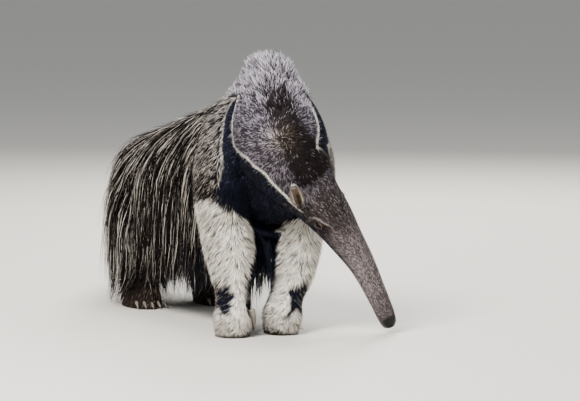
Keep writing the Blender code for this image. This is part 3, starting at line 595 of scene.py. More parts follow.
class Atlas:
    """Says which form a point is on, and where along it and round it."""

    def __init__(self):
        places, points = [], []
        for number, form in enumerate(FORMS):
            ts = np.arange(0, form.last + 0.001, ATLAS_STEP)
            angles = np.arange(-180, 180, ATLAS_DEGREES)
            t, a = (grid.ravel() for grid in np.meshgrid(ts, angles, indexing="ij"))
            points.append(form.point(t, a, 1.0))
            places.append(np.stack([np.full(len(t), float(number)), t, a], axis=1))
        self.points = np.concatenate(points)
        self.places = np.concatenate(places)
        self.tree = tree_of(self.points)

    def read(self, points):
        """Form number, place along it and degrees round it, for each point."""
        found = nearest_of(self.tree, points)
        number, t, a = self.places[found].T.copy()
        number = number.astype(int)
        for form_number, form in enumerate(FORMS):
            here = number == form_number
            if not here.any():
                continue
            tt, aa = t[here], a[here]
            low, high = np.maximum(tt - 0.03, 0), np.minimum(tt + 0.03, form.last)
            run = (form.point(high, aa, 1.0) - form.point(low, aa, 1.0)) / (high - low)[:, None]
            turn = (form.point(tt, aa + 2, 1.0) - form.point(tt, aa - 2, 1.0)) / 4
            off = points[here] - self.points[found][here]
            step = (dot(off, run) / dot(run, run))[:, 0].clip(-ATLAS_STEP, ATLAS_STEP)
            t[here] = np.clip(tt + step, 0, form.last)
            step = (dot(off, turn) / dot(turn, turn))[:, 0].clip(-ATLAS_DEGREES, ATLAS_DEGREES)
            a[here] = aa + step
        return number, t, (a + 180) % 360 - 180


ATLAS = Atlas()


def eye_frames():
    """Each eye's name, middle and the ways along the head, up its side and outwards."""
    head = FORMS[NECK_ID]
    found = []
    for side, sign in SIDES:
        centre, along, back, _ = (v[0] for v in head.frame(EYE_AT))
        out = unit(head.point(EYE_AT, sign * EYE_ROUND)[0] - centre)
        low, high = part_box(f"eye_{side}")
        middle = (np.array(low) + np.array(high)) / 2 - SHIFT
        along = unit(along - out * (along @ out))
        up = unit(back - out * (back @ out) - along * (back @ along))
        found.append((side, middle, along, up, out))
    return found


EYES = eye_frames()
EYE_HALF = 0.0096


def by_eye(points, stretch=1.3):
    """For each eye, the points' places along the head, up and out from it, and their reach."""
    for _, middle, along, up, out in EYES:
        off = points - middle
        x, y, z = off @ along, off @ up, off @ out
        yield x, y, z, np.sqrt((x / stretch) ** 2 + y**2)


def almond_edge(u):
    """Half the height of the eye's opening at u of its half length."""
    return 0.0068 * np.sqrt(np.clip(1 - u * u, 0, 1)) * (1 - 0.30 * u * u)


def eye_opening(x, y):
    return (np.abs(x) < EYE_HALF) & (np.abs(y) < almond_edge(x / EYE_HALF))


def raw_body():
    """The forms, less their coat, fused in one closed smooth skin."""
    bm = bmesh.new()
    for form in FORMS:
        ts = np.linspace(0, form.last, form.last * 8 + 1)
        degrees = np.arange(0, 360, 11.25)
        loops = [form.point(np.full(len(degrees), t), degrees, coat=1.0) for t in ts]
        for t, sign in ((0.0, -1), (float(form.last), 1)):
            centre, along, _, _ = (v[0] for v in form.frame(t))
            size = smooth_between(form.deep, np.array([t]))[0]
            rim = loops[0] if sign < 0 else loops[-1]
            inner = centre + (rim - centre) * 0.7 + along * (sign * size * 0.32)
            core = centre + (rim - centre) * 0.3 + along * (sign * size * 0.44)
            loops = [core, inner] + loops if sign < 0 else loops + [inner, core]
        tube(bm, loops)
    rough = mesh_object("rough", bm)
    remesh = rough.modifiers.new("fuse", "REMESH")
    remesh.mode = "VOXEL"
    remesh.voxel_size = SKIN_VOXEL
    smooth = rough.modifiers.new("smooth", "SMOOTH")
    smooth.factor = 0.5
    smooth.iterations = 8
    graph = bpy.context.evaluated_depsgraph_get()
    mesh = bpy.data.meshes.new_from_object(rough.evaluated_get(graph))
    bpy.data.objects.remove(rough)
    return mesh


def coords(bm):
    return np.array([v.co for v in bm.verts])


def subdivided(bm, inside):
    """Splits the edges whose ends are both inside, and eases what was split."""
    edges = [e for e in bm.edges if inside[e.verts[0].index] and inside[e.verts[1].index]]
    made = bmesh.ops.subdivide_edges(bm, edges=edges, cuts=1, use_grid_fill=True)
    verts = [g for g in made["geom_inner"] if isinstance(g, bmesh.types.BMVert)]
    bmesh.ops.smooth_vert(bm, verts=verts, factor=0.5, use_axis_x=True, use_axis_y=True,
                          use_axis_z=True)
    bm.verts.index_update()
    bm.verts.ensure_lookup_table()


def sculpt(points, normals, number, t, a):
    """Moves the head's points: sockets, lids, brow, nostrils, mouth and lips."""
    head = FORMS[NECK_ID]
    for eye, (x, y, z, reach) in zip(EYES, by_eye(points, 1.22)):
        near = (np.abs(x) < 0.03) & (np.abs(y) < 0.03) & (z > -0.02) & (z < 0.03)
        lid = np.sqrt(np.clip((EYE_RADIUS + 0.0011) ** 2 - reach**2, 0, 1))
        socket = 0.0012 * bell(reach, 0.0135, 0.003)
        brow = 0.0022 * bell(y, 0.0150, 0.005) * bell(x, -0.002, 0.014)
        tear = 0.0012 * bell(y, 0.0005, 0.0016) * ramp(x, 0.008, 0.012)
        tear = tear * (1 - ramp(x, 0.026, 0.040))
        rise = np.maximum(0, lid - z) * ramp(reach, 0.0140, 0.0104) - socket + brow - tear
        rise = np.where(eye_opening(x, y), 0.0030 - z, rise)
        points[near] += eye[4] * rise[near, None]
    centre, along, _, _ = (v[0] for v in head.frame(NOSTRIL_AT))
    for _, sign in SIDES:
        rim = head.point(NOSTRIL_AT, sign * NOSTRIL_ROUND)[0]
        hole = centre + (rim - centre) * 0.74 + along * 0.0052
        away = unit(rim - centre)
        across = np.cross(along, away)
        off = points - hole
        x, y, z = off @ across, off @ away, off @ along
        # A comma-shaped nostril, open to the front and curling to the side
        d = np.sqrt(((x + 0.35 * y) / 0.0048) ** 2 + (y / 0.0025) ** 2)
        dent = 0.0008 * bell(d, 1.5, 0.4) - 0.0062 * np.exp(-(d**4))
        points += along * np.where(z > -0.008, dent, 0)[:, None]
    for _, sign in SIDES:
        ts = np.linspace(MOUTH_FROM, head.last, 9)
        path = head.point(ts, np.full(9, float(sign * MOUTH_ROUND)))
        end = head.frame(float(head.last))[1]
        d = distance_to(points, np.concatenate([path, path[-1:] + end * 0.006]))
        lips = 0.0010 * bell(d, 0.0028, 0.0014) - 0.0016 * bell(d, 0, 0.0010)
        points += normals * lips[:, None]
    for line in CLAW_LINES:
        points -= normals * (0.010 * ramp(distance_to(points, line), 0.020, 0.008))[:, None]
    start = 10.02 + 0.22 * ramp(np.abs(a), 40, 100)
    wet = np.where(number == NECK_ID, ramp(t, start, start + 0.10), 0)
    return points, wet


def build_skin():
    mesh = raw_body()
    bm = bmesh.new()
    bm.from_mesh(mesh)
    bm.verts.ensure_lookup_table()
    number, t, _ = ATLAS.read(coords(bm))
    subdivided(bm, (number == NECK_ID) & (t > 4.6))
    points = coords(bm)
    close = np.linalg.norm(points - FORMS[NECK_ID].at[-1], axis=1) < 0.024
    for eye in EYES:
        close |= np.linalg.norm(points - eye[1], axis=1) < 0.021
    subdivided(bm, close)
    bm.normal_update()
    points = coords(bm)
    normals = np.array([v.normal for v in bm.verts])
    number, t, a = ATLAS.read(points)
    snout = np.where(number == NECK_ID, ramp(t, 5.2, 5.8) * (1 - ramp(t, 10.6, 10.95)), 0)
    points = blend(points, FORMS[NECK_ID].point(t.clip(0, 11), a, 1.0), snout)
    points, wet = sculpt(points, normals, number, t, a)
    points[:, 2] = np.maximum(points[:, 2], SKIN_LOW)
    for v, point in zip(bm.verts, points):
        v.co = point
    bm.normal_update()
    bm.to_mesh(mesh)
    bm.free()
    mesh.calc_loop_triangles()
    corners = np.empty(len(mesh.loop_triangles) * 3, np.int32)
    mesh.loop_triangles.foreach_get("vertices", corners)
    normals = np.empty(len(mesh.vertices) * 3, np.float32)
    mesh.vertices.foreach_get("normal", normals)
    return mesh, points, wet, corners.reshape(-1, 3), normals.reshape(-1, 3).astype(float)


skin_mesh, skin_points, skin_wet, skin_triangles, skin_normals = build_skin()
skin_tree = BVHTree.FromPolygons(skin_points.tolist(), skin_triangles.tolist())
skin_places = ATLAS.read(skin_points)


def nearest(points):
    """The nearest skin points and the ways they face."""
    found = [skin_tree.find_nearest(point)[:2] for point in points]
    return np.array([f[0] for f in found]), np.array([f[1] for f in found])


# The markings

def coat_points(number, t, a):
    """Where the coat's outside is over each place."""
    made = np.zeros((len(t), 3))
    for form_number, form in enumerate(FORMS):
        here = number == form_number
        if here.any():
            made[here] = form.point(t[here], a[here])
    return made


def markings(number, t, a):
    """How much of each marking each place has, from 0 to 1."""
    points = coat_points(number, t, a)
    x, y, z = points.T
    neck, trunk = number == NECK_ID, number == TRUNK_ID
    leg = np.isin(number, FORELEGS)
    outer = np.where(number == FORE_L, -a, a)

    # The grey mantle, from the ears over the hump to its point on the back, and the head
    back_right, back_left = curve(BACK_RIGHT, t), curve(BACK_LEFT, t)
    on_neck = between(a, curve(WHITE_LEFT, t), curve(WHITE_RIGHT, t))
    mantle = np.where(neck, on_neck * ramp(t, 0.7, 1.1), 0)
    mantle = np.where(neck & (t < 1.15), np.abs(a - 20) < 40, mantle)
    mantle = np.where(trunk & (t > 8), ramp(z, 0.50, 0.515), mantle)
    behind = between(a, back_left, back_right) * ramp(t, 4.6, 6.0)
    mantle = np.where(trunk & (t <= 8), behind, mantle)
    head = np.where(neck, ramp(t, 4.75, 5.15), 0)

    # The black band over the shoulder and chest, and its strip beside the mantle
    rear = np.interp(z, REAR_Z, REAR_Y) + np.where(x > MIDDLE, -0.016, 0)
    inner = (x > -0.062) & (x < 0.085) & (z < 0.40) & (y < 0.12)
    band = np.where(inner, 1, ramp(rear - y, -0.004, 0.004)) * (1 - mantle) * (1 - head)
    band = band * (neck | trunk | leg)
    band = np.where(neck & (t > 2.2), (1 - mantle) * (1 - head), band)
    throat = ramp(np.abs(a), 95, 125) * ramp(t, 6.6, 7.6)
    band = np.where(trunk, np.maximum(band, throat), band)
    taper = 11 * ramp(t, 5.0, 8.0) + 0.1
    beside = np.where(a > 0, a - back_right, back_left - a)
    strip = between(beside, 0, taper, 1) * ramp(t, 5.0, 5.4)
    band = np.maximum(band, np.where(trunk & (t < 8.05), strip, 0))

    # The cream forelegs and their dark wrists
    edge = np.where(number == FORE_R, curve(CREAM_EDGE_RIGHT, t), curve(CREAM_EDGE_LEFT, t))
    top = 2.62 + np.clip((outer - 35) / 100, 0, 1) * 0.5
    cream = np.where(leg, ramp(outer, edge - 5, edge + 5) * ramp(t, top - 0.06, top + 0.08), 0)
    cream *= 1 - ramp(outer, 118, 150) * (1 - ramp(t, 7.6, 8.4))
    band = np.where(leg & (z < 0.303), (1 - cream) * ramp(outer, 75, 40), band) * (1 - cream)
    near_side = np.where(number == FORE_L, -14, 20) + 7 * np.sin(t * 4.3) + 4 * np.sin(t * 9.7)
    bend = 0.16 * np.sin(np.radians(a * 3.1)) + 0.10 * np.sin(np.radians(a * 7.3 + 40))
    along = t - bend + 0.004 * (outer - 50)
    wrist = ramp(along, 6.1, 6.35) * (1 - ramp(along, 7.8, 8.05))
    wrist = wrist * ramp(outer, near_side - 6, near_side + 6)
    wrist = np.where(leg, wrist * (1 - ramp(outer, 95, 115)), 0)

    # The white lines beside the mantle, and the pale rim behind the band
    white = np.zeros(len(points))
    for path in WHITE_PATHS:
        white = np.maximum(white, ramp(distance_to(points, path), 0.0042, 0.0022))
    white *= (neck | trunk) * (1 - ramp(t, 5.0, 5.3) * neck)
    white *= 1 - 0.9 * ramp(t, 3.95, 4.05) * (neck & (a < 0))
    rim = ramp(np.abs(y - rear), 0.0021, 0.0006) * ramp(z, 0.315, 0.335)
    rim = rim * (1 - ramp(z, 0.515, 0.53))
    rim = np.where(neck & (t > 2.2), 0, rim) * (neck | trunk | (leg & (outer > 15))) * (1 - mantle)
    rim = rim * ~inner * np.where(x > MIDDLE, 0.35, 0.9)
    under_strip = ramp(np.abs(beside - taper), 4, 1.5)
    rim = np.maximum(rim, np.where(trunk & (t < 8) & (t > 5), under_strip, 0))

    # The dark stripe down the mantle's middle, and the hump
    low = ramp(a, curve(STRIPE_LEFT, t) - 7, curve(STRIPE_LEFT, t) + 7)
    high = ramp(a, curve(STRIPE_RIGHT, t) + 8, curve(STRIPE_RIGHT, t) - 8)
    stripe = low * high * mantle * (1 - 0.6 * ramp(t, 4.6, 5.1)) * neck
    stripe = stripe * (0.6 + 0.4 * ramp(t, 1.6, 2.6)) * ramp(z, 0.575, 0.535)
    hump = np.where(neck | trunk, mantle * ramp(z, 0.46, 0.53), 0)
    return {
        "mantle": mantle, "head": head, "band": band, "cream": cream, "wrist": wrist,
        "white": white, "rim": rim, "stripe": stripe, "hump": hump, "outer": outer,
    }


def line_on_coat(number, pairs):
    """The pairs' line, laid on the coat, as a row of points."""
    form = FORMS[number]
    points = []
    for (t0, a0), (t1, a1) in zip(pairs, pairs[1:]):
        s = np.linspace(0, 1, 4)
        points.append(form.point(t0 + (t1 - t0) * s, a0 + (a1 - a0) * s))
    return np.concatenate(points)


WHITE_PATHS = [
    np.concatenate([line_on_coat(TRUNK_ID, back), line_on_coat(NECK_ID, white)])
    for back, white in ((BACK_RIGHT, WHITE_RIGHT), (BACK_LEFT, WHITE_LEFT))
]


def way_along(points, paths):
    """The way of the nearest stretch of the paths, from the ears up to the hump."""
    middles = np.concatenate([(path[1:] + path[:-1]) / 2 for path in paths])
    ways = unit(np.concatenate([path[:-1] - path[1:] for path in paths]))
    return ways[nearest_of(tree_of(middles), points)]


def eye_marks(points):
    """How much each point is on the pale streak over an eye and on the dark line before it."""
    streak, tear = np.zeros(len(points)), np.zeros(len(points))
    for x, y, z, _ in by_eye(points):
        spot = np.stack([x, y], axis=1)
        near = (z > -0.02) & (x * x + y * y + z * z < 0.08**2)
        found = near * ramp(distance_to(spot, EYE_STREAK), 0.0036, 0.0012)
        streak = np.maximum(streak, found * (1 - ramp(x, 0.012, 0.030)))
        found = near * ramp(distance_to(spot, EYE_LINE), 0.0028, 0.0008)
        tear = np.maximum(tear, found * (1 - ramp(x, 0.030, 0.056)))
    return streak, tear


def base_colours(number, t, a, points, marks):
    """The coat's colour at its roots and at its tips."""
    shoulder = ramp(points[:, 1], 0.20, 0.10) * np.isin(number, (TRUNK_ID, *FORELEGS))
    snout = np.where(number == NECK_ID, ramp(t, 5.6, 8.0), 0)
    chin = np.where(number == NECK_ID, ramp(np.abs(a), 86, 102) * marks["head"], 0)
    chin = chin * (1 - ramp(t, 7.6, 9.0))
    streak, tear = eye_marks(points)
    lid = np.zeros(len(points))
    for _, _, z, reach in by_eye(points):
        lid = np.maximum(lid, ramp(reach, 0.0115, 0.0090) * (z > -0.01))
    snout_tip = SNOUT * (1 - 0.5 * ramp(t, 8.2, 10))[:, None]
    root = np.tile(DARK, (len(points), 1))
    tip = np.tile(BROWN, (len(points), 1))
    return painted(root, tip, (
        (shoulder, DARK * 0.35, 1, BROWN * 0.25, 1),
        (marks["mantle"], SOOT * 0.7, 1, MAUVE * 0.66, 1),
        (marks["hump"], DARK, 0, SILVER * 0.22, 0.8),
        (marks["head"], SOOT * 0.6, 1, HEAD * 0.46, 1),
        (snout, HEAD * 0.45, 1, snout_tip, 1),
        (marks["stripe"], DARK * 0.6, 0.9, DARK * 0.8, 0.92),
        (marks["band"], BLACK * 0.6, 1, BLACK, 1),
        (marks["cream"], CREAM * 0.98, 1, CREAM, 1),
        (marks["wrist"], BLACK * 0.7, 1, BLACK, 1),
        (marks["rim"], CREAM * 0.55, 0.7, CREAM, 0.85),
        (marks["white"], CREAM * 0.9, 1, WHITE, 1),
        (chin, BLACK * 0.7, 0.9, BLACK, 0.9),
        (lid, DARK * 0.5, 0.5, DARK * 0.6, 0.5),
        (streak, rgb(120, 106, 100), 0.6, rgb(180, 168, 163), 0.56),
        (tear, BLACK, 0.85, BLACK, 0.85),
    ))


# Strands

def scatter(count, weight):
    """Roots strewn over the skin, as many to an area as weight says for each triangle."""
    a, b, c = (skin_points[skin_triangles[:, k]] for k in range(3))
    area = np.linalg.norm(np.cross(b - a, c - a), axis=1)
    chance = area * weight
    picked = rng.choice(len(area), int(count), p=chance / chance.sum())
    u, v = rng.random(int(count)), rng.random(int(count))
    over = u + v > 1
    u, v = np.where(over, 1 - u, u)[:, None], np.where(over, 1 - v, v)[:, None]
    shares = (1 - u - v, u, v)
    corners = skin_triangles[picked]
    roots = a[picked] * shares[0] + b[picked] * u + c[picked] * v
    return roots, unit(sum(skin_normals[corners[:, k]] * shares[k] for k in range(3)))


def sown(count, weight):
    """Strewn roots, the ways they face, their places and their markings."""
    roots, outs = scatter(count, weight)
    place = ATLAS.read(roots)
    return roots, outs, place, markings(*place)


def any_of(low, high, like):
    """A random number for each of the things in like."""
    return rng.uniform(low, high, len(like))


def flat(way, out):
    """The part of way that lies along the skin."""
    return unit(way - out * dot(way, out))


def grow(roots, outs, flow, length, lift, rows, clear, bow=0.6, sink=0.0015):
    """Paths that leave the skin at lift radians along the flow and settle clear of it."""
    length, lift, clear = (np.broadcast_to(v, len(roots))[:, None] for v in (length, lift, clear))
    here = roots - outs * sink
    paths, faces = [here], [outs]
    for k in range(1, rows + 1):
        s = k / rows
        way = flat(flow(here, s), outs)
        rise = lift * (1 - bow * s)
        here = here + (way * np.cos(rise) + outs * np.sin(rise)) * (length / rows)
        near, normal = nearest(here)
        height = dot(here - near, normal)
        here = here + normal * np.maximum(0, clear * (0.3 + 0.7 * s) - height)
        outs = unit(outs * 0.4 + normal * 0.6)
        paths.append(here)
        faces.append(outs)
    return np.stack(paths, axis=1), np.stack(faces, axis=1)


# The unwrapped skin: each form's corner and size on it, with the ears last
UV_CORNERS = [(0.01, 0.01), (0.33, 0.01), (0.01, 0.31), (0.14, 0.31), (0.27, 0.31), (0.39, 0.31),
              (0.01, 0.47), (0.30, 0.47)]
UV_SIZES = [(0.30, 0.27), (0.27, 0.27), (0.11, 0.13), (0.11, 0.13), (0.10, 0.13), (0.10, 0.13),
            (0.25, 0.13), (0.10, 0.10)]
UV_SCALE = 1.6
UV_PATCH = 0.003


def bake_places(number, t, a):
    """Each root's place on the unwrapped skin, form by form."""
    last = np.array([form.last for form in FORMS] + [1.0])[number]
    share = np.stack([a / 360 + 0.5, np.clip(t / last, 0, 1)], axis=1)
    return (np.array(UV_CORNERS)[number] + np.array(UV_SIZES)[number] * share) * UV_SCALE


def strand_template(rows):
    """The corners of one strand's faces, and how many corners each face has."""
    corners = []
    for low in range(0, 3 * rows - 3, 3):
        for k in range(3):
            n = (k + 1) % 3
            corners.append([low + k, low + n, low + 3 + n, low + 3 + k])
    last = 3 * rows - 3
    corners += [[last + k, last + (k + 1) % 3, last + 3] for k in range(3)] + [[2, 1, 0]]
    return np.concatenate(corners), np.array([len(face) for face in corners])


PIECE_TRIANGLES = 180000
STRAND_LOW, STRAND_BELLY = 0.0006, 0.35
piece_count = {}


def lay_strands(name, kind, paths, faces, width, colours, uv, fine=0.25):
    """Adds strands as closed tapered tufts. colours has a colour for each row and the tip."""
    chunk = PIECE_TRIANGLES // (6 * (paths.shape[1] - 2) + 4)
    for first in range(0, len(paths), chunk):
        part = (v[first:first + chunk] for v in (paths, faces, width, colours, uv))
        strand_piece(name, kind, *part, fine)


def strand_piece(name, kind, paths, faces, width, colours, uv, fine):
    count, rows = len(paths), paths.shape[1] - 1
    s = np.arange(rows) / rows
    taper = 1 - np.maximum(0, (s - 0.35) / 0.65) ** 1.6 * (1 - fine)
    profile = (0.55 + 0.45 * np.minimum(1, s / 0.35)) * taper if rows > 1 else np.ones(1)
    half = width[:, None, None] * 0.5 * profile[None, :, None]
    base = paths[:, :-1]
    ahead = unit(paths[:, 1:] - base)
    out = flat(faces[:, :-1], ahead)
    side = np.cross(ahead, out)
    belly = base + out * half * 2 * STRAND_BELLY
    body = np.stack([base - side * half, belly, base + side * half], axis=2)
    points = np.concatenate([body.reshape(count, rows * 3, 3), paths[:, -1:]], axis=1)
    points[:, :, 2] = np.maximum(points[:, :, 2], STRAND_LOW)
    per = rows * 3 + 1
    corners, sizes = strand_template(rows)
    loops = (corners[None, :] + (np.arange(count) * per)[:, None]).ravel()
    starts = np.concatenate([[0], np.cumsum(np.tile(sizes, count))[:-1]])
    piece_count[name] = piece_count.get(name, 0) + 1
    mesh = bpy.data.meshes.new(f"{name}_{piece_count[name]}")
    mesh.vertices.add(count * per)
    mesh.loops.add(len(loops))
    mesh.loops.foreach_set("vertex_index", loops.astype(np.int32))
    mesh.polygons.add(len(starts))
    mesh.polygons.foreach_set("loop_start", starts.astype(np.int32))
    mesh.update(calc_edges=True)
    row_of = np.concatenate([np.repeat(np.arange(rows), 3), [rows]])
    add_tint(mesh, colours[:, row_of].reshape(-1, 3))
    across = np.concatenate([np.tile([-0.5, 0.0, 0.5], rows), [0.0]])
    patch = np.stack([across, row_of / rows - 0.5], axis=1) * UV_PATCH
    spot = (uv[:, None] + patch[None]).reshape(-1, 2)
    layer = mesh.uv_layers.new(name="OFBake")
    layer.data.foreach_set("uv", spot[loops].astype(np.float32).ravel())
    place_mesh(mesh.name, mesh, points.reshape(-1, 3), MATERIALS[kind], f"coat_{kind}")


def lay_by_kind(name, kinds, short, paths, faces, width, colours, uv):
    """Lays strands of several kinds, the short ones without their middle rows."""
    for kind, shown in kinds:
        sizes = (("short", shown & short, [0, -1]), ("long", shown & ~short, slice(None)))
        for size, chosen, kept in sizes:
            lay_strands(f"{name}_{kind}_{size}", kind, paths[chosen][:, kept],
                        faces[chosen][:, kept], width[chosen], colours[chosen][:, kept], uv[chosen])


def clumped(points, every):
    """A random number for each point, the same for all those of one small clump."""
    centres = points[rng.random(len(points)) < 1 / every]
    return rng.random(len(centres))[nearest_of(tree_of(centres), points)]


def shade(root, tip, rows, spread, pale, pale_colour, lean, clump, herd=1.0):
    """Each strand's colours from root to tip, some clumps darker and some strands much paler."""
    n = len(root)
    s = (np.arange(rows + 1) / rows)[None] ** np.broadcast_to(lean, n)[:, None]
    colours = root[:, None] * (1 - s[:, :, None]) + tip[:, None] * s[:, :, None]
    tone = spread * (1.5 * (clump * 2 - 1) + rng.normal(0, 0.5, n))
    colours = colours * np.exp(tone)[:, None, None]
    chosen = rng.random(n) < pale * (1 + herd * (1.4 * clump - 0.7))
    much = (0.10 + 0.90 * s)[:, :, None] * (chosen * rng.uniform(0.55, 1, n))[:, None, None]
    return (colours * (1 - much) + pale_colour * much).clip(0, 1)


triangle_middles = skin_points[skin_triangles].mean(axis=1)
tri_number, tri_t, tri_a = ATLAS.read(triangle_middles)
triangle_marks = markings(tri_number, tri_t, tri_a)
on_trunk, on_neck = tri_number == TRUNK_ID, tri_number == NECK_ID
on_hindleg = np.isin(tri_number, (HIND_R, HIND_L))
round_back = np.abs(tri_a)


def add_front_coat():
    """The hump, the mantle, the black band, the throat and chest."""
    middle = on_trunk & (tri_t <= 6.6)
    weight = 1.0 * (on_neck & (tri_t < 5.0)) + 1.0 * (on_trunk & (tri_t > 6.6))
    weight += 0.5 * (middle & (tri_t > 5.5) & (round_back < 45))
    weight += 0.3 * (middle & (tri_t > 6.0) & (round_back >= 45))
    weight += 0.9 * (np.isin(tri_number, FORELEGS) & (tri_t < 2.7))
    weight *= 1 + 1.5 * triangle_marks["white"]
    roots, outs, place, marks = sown(STRANDS["front"] * QUICK, weight)
    rows = 2
    mantle, hump, band = marks["mantle"], marks["hump"], marks["band"]
    white, edge_rim = marks["white"], marks["rim"]
    shoulder = (1 - mantle) * (1 - band) * (1 - marks["head"])
    top = hump * ramp(outs[:, 2], 0.35, 0.85)
    length = 0.0125 + 0.002 * hump + 0.013 * top + 0.012 * shoulder
    length = length * (1 - 0.5 * np.maximum(white, edge_rim)) * any_of(0.7, 1.25, roots)
    whorl = np.exp(-((np.linalg.norm(roots - WHORL, axis=1) / 0.028) ** 2))
    lift = 0.36 - 0.12 * hump + 0.86 * top + 0.12 * shoulder + 0.30 * whorl - 0.16 * band
    lift = lift - 0.20 * white + 0.15 * shoulder * (roots[:, 0] > MIDDLE)
    lift = lift + any_of(-0.08, 0.16, roots)
    side = np.clip(band + edge_rim + (1 - mantle) * (1 - marks["head"]), 0, 1)[:, None]
    stray = rng.normal(0, 0.42 + 0.5 * whorl, len(roots))[:, None]
    edge = way_along(roots, WHITE_PATHS)

    def flow(here, s):
        """Out from the whorl in the mantle, and down and back over the band."""
        off = here - WHORL
        outward = np.where(here[:, :1] > 0.01, 0.25, -0.25) * np.array([1, 0, 0])
        down = unit(outward + np.array([0, 0.35, -1.0]))
        way = unit(off) * (1 - side) + down * side
        turn = 0.9 * bell(np.linalg.norm(off, axis=1), 0, 0.05)[:, None] * (1 - side)
        upward = np.array([0.0, 0.15, 1.0]) * (hump * 0.7)[:, None]
        way = unit(way + np.cross(way, outs) * turn + upward)
        way = way + np.cross(way, outs) * stray
        return blend(blend(way, edge, white), np.array([0.0, 0.15, -1.0]), edge_rim)

    bow = (0.6 - 0.5 * top)[:, None]
    paths, faces = grow(roots, outs, flow, length, lift, rows, 0.0012 + 0.004 * hump, bow)
    paths[:, 1:] += rng.normal(0, 0.0009, paths[:, 1:].shape) * np.linspace(0.6, 1, rows)[:, None]
    root, tip = base_colours(*place, roots, marks)
    root, tip = painted(root, tip, [(whorl, TAN * 0.4, 0.5, TAN * 0.42, 0.5)])
    pale = 0.36 * mantle * (1 - 0.93 * marks["stripe"]) + 0.04 * hump + 0.40 * shoulder
    # In the black band the few pale strands are a painted bluish sheen, painted highlights on the
    # black hair
    pale = np.where(band > 0.5, 0.12, pale)
    herd = np.where(band > 0.5, 1.0, 3.0)
    pale_colour = np.tile(rgb(222, 214, 226), (len(roots), 1))
    pale_colour = blend(pale_colour, rgb(234, 222, 206), np.maximum(whorl * 0.8, shoulder * 0.7))
    # The band's pale colour is that painted bluish highlight
    pale_colour = blend(pale_colour, rgb(104, 110, 142), band)
    spread = (0.72 + 0.2 * hump) * (1 - white) * (1 - 0.3 * edge_rim)
    clump = clumped(roots, 3.2)
    colours = shade(root, tip, rows, spread, pale, pale_colour[:, None], 1.5 - shoulder, clump,
                    herd)
    ringed = rng.random(len(roots)) < 0.6 * shoulder
    colours[ringed, -1] = colours[ringed, 0]
    width = WIDTH["front"] * any_of(0.7, 1.3, roots)
    dark = band + marks["stripe"] > 0.5
    short = (hump < 0.25) & (shoulder < 0.5)
    kinds = (("dark", dark), ("grey", ~dark))
    lay_by_kind("coat_front", kinds, short, paths, faces, width, colours, bake_places(*place))


def add_head_coat():
    """Short hair, which lies back from the snout to the ears."""
    weight = (on_neck & (tri_t > 4.8)) * (1 - ramp(tri_t, 9.9, 10.15))
    for _, _, z, reach in by_eye(triangle_middles):
        weight = weight * np.where(z > -0.01, ramp(reach, 0.0080, 0.0092), 1)
    weight = weight * (1 + 1.6 * eye_marks(triangle_middles)[0]) * (1 + 0.3 * ramp(tri_t, 6.0, 7.5))
    roots, outs, place, marks = sown(STRANDS["head"] * QUICK, weight)
    _, t, a = place
    rows = 1
    along, around = FORMS[NECK_ID].ways(t, a)
    length = np.interp(t, [4.8, 5.6, 7, 9, 10.5], [0.013, 0.0090, 0.0075, 0.0060, 0.0042])
    length = length * any_of(0.75, 1.2, roots)
    lift = 0.18 + any_of(-0.05, 0.10, roots)
    paths, faces = grow(roots, outs, lambda here, s: around * 0.18 * np.sign(a)[:, None] - along,
                        length, lift, rows, 0.0010, sink=0.0006)
    root, tip = base_colours(*place, roots, marks)
    pale = 0.07 + 0.20 * ramp(t, 6, 8) - 0.15 * ramp(t, 8.4, 10)
    colours = shade(root, tip, rows, 0.60, pale, rgb(190, 180, 178), 1.0, clumped(roots, 2.0))
    width = np.interp(t, [4.8, 7, 10.5], WIDTH["head"]) * any_of(0.7, 1.3, roots)
    lay_strands("coat_head", "grey", paths, faces, width, colours, bake_places(*place))


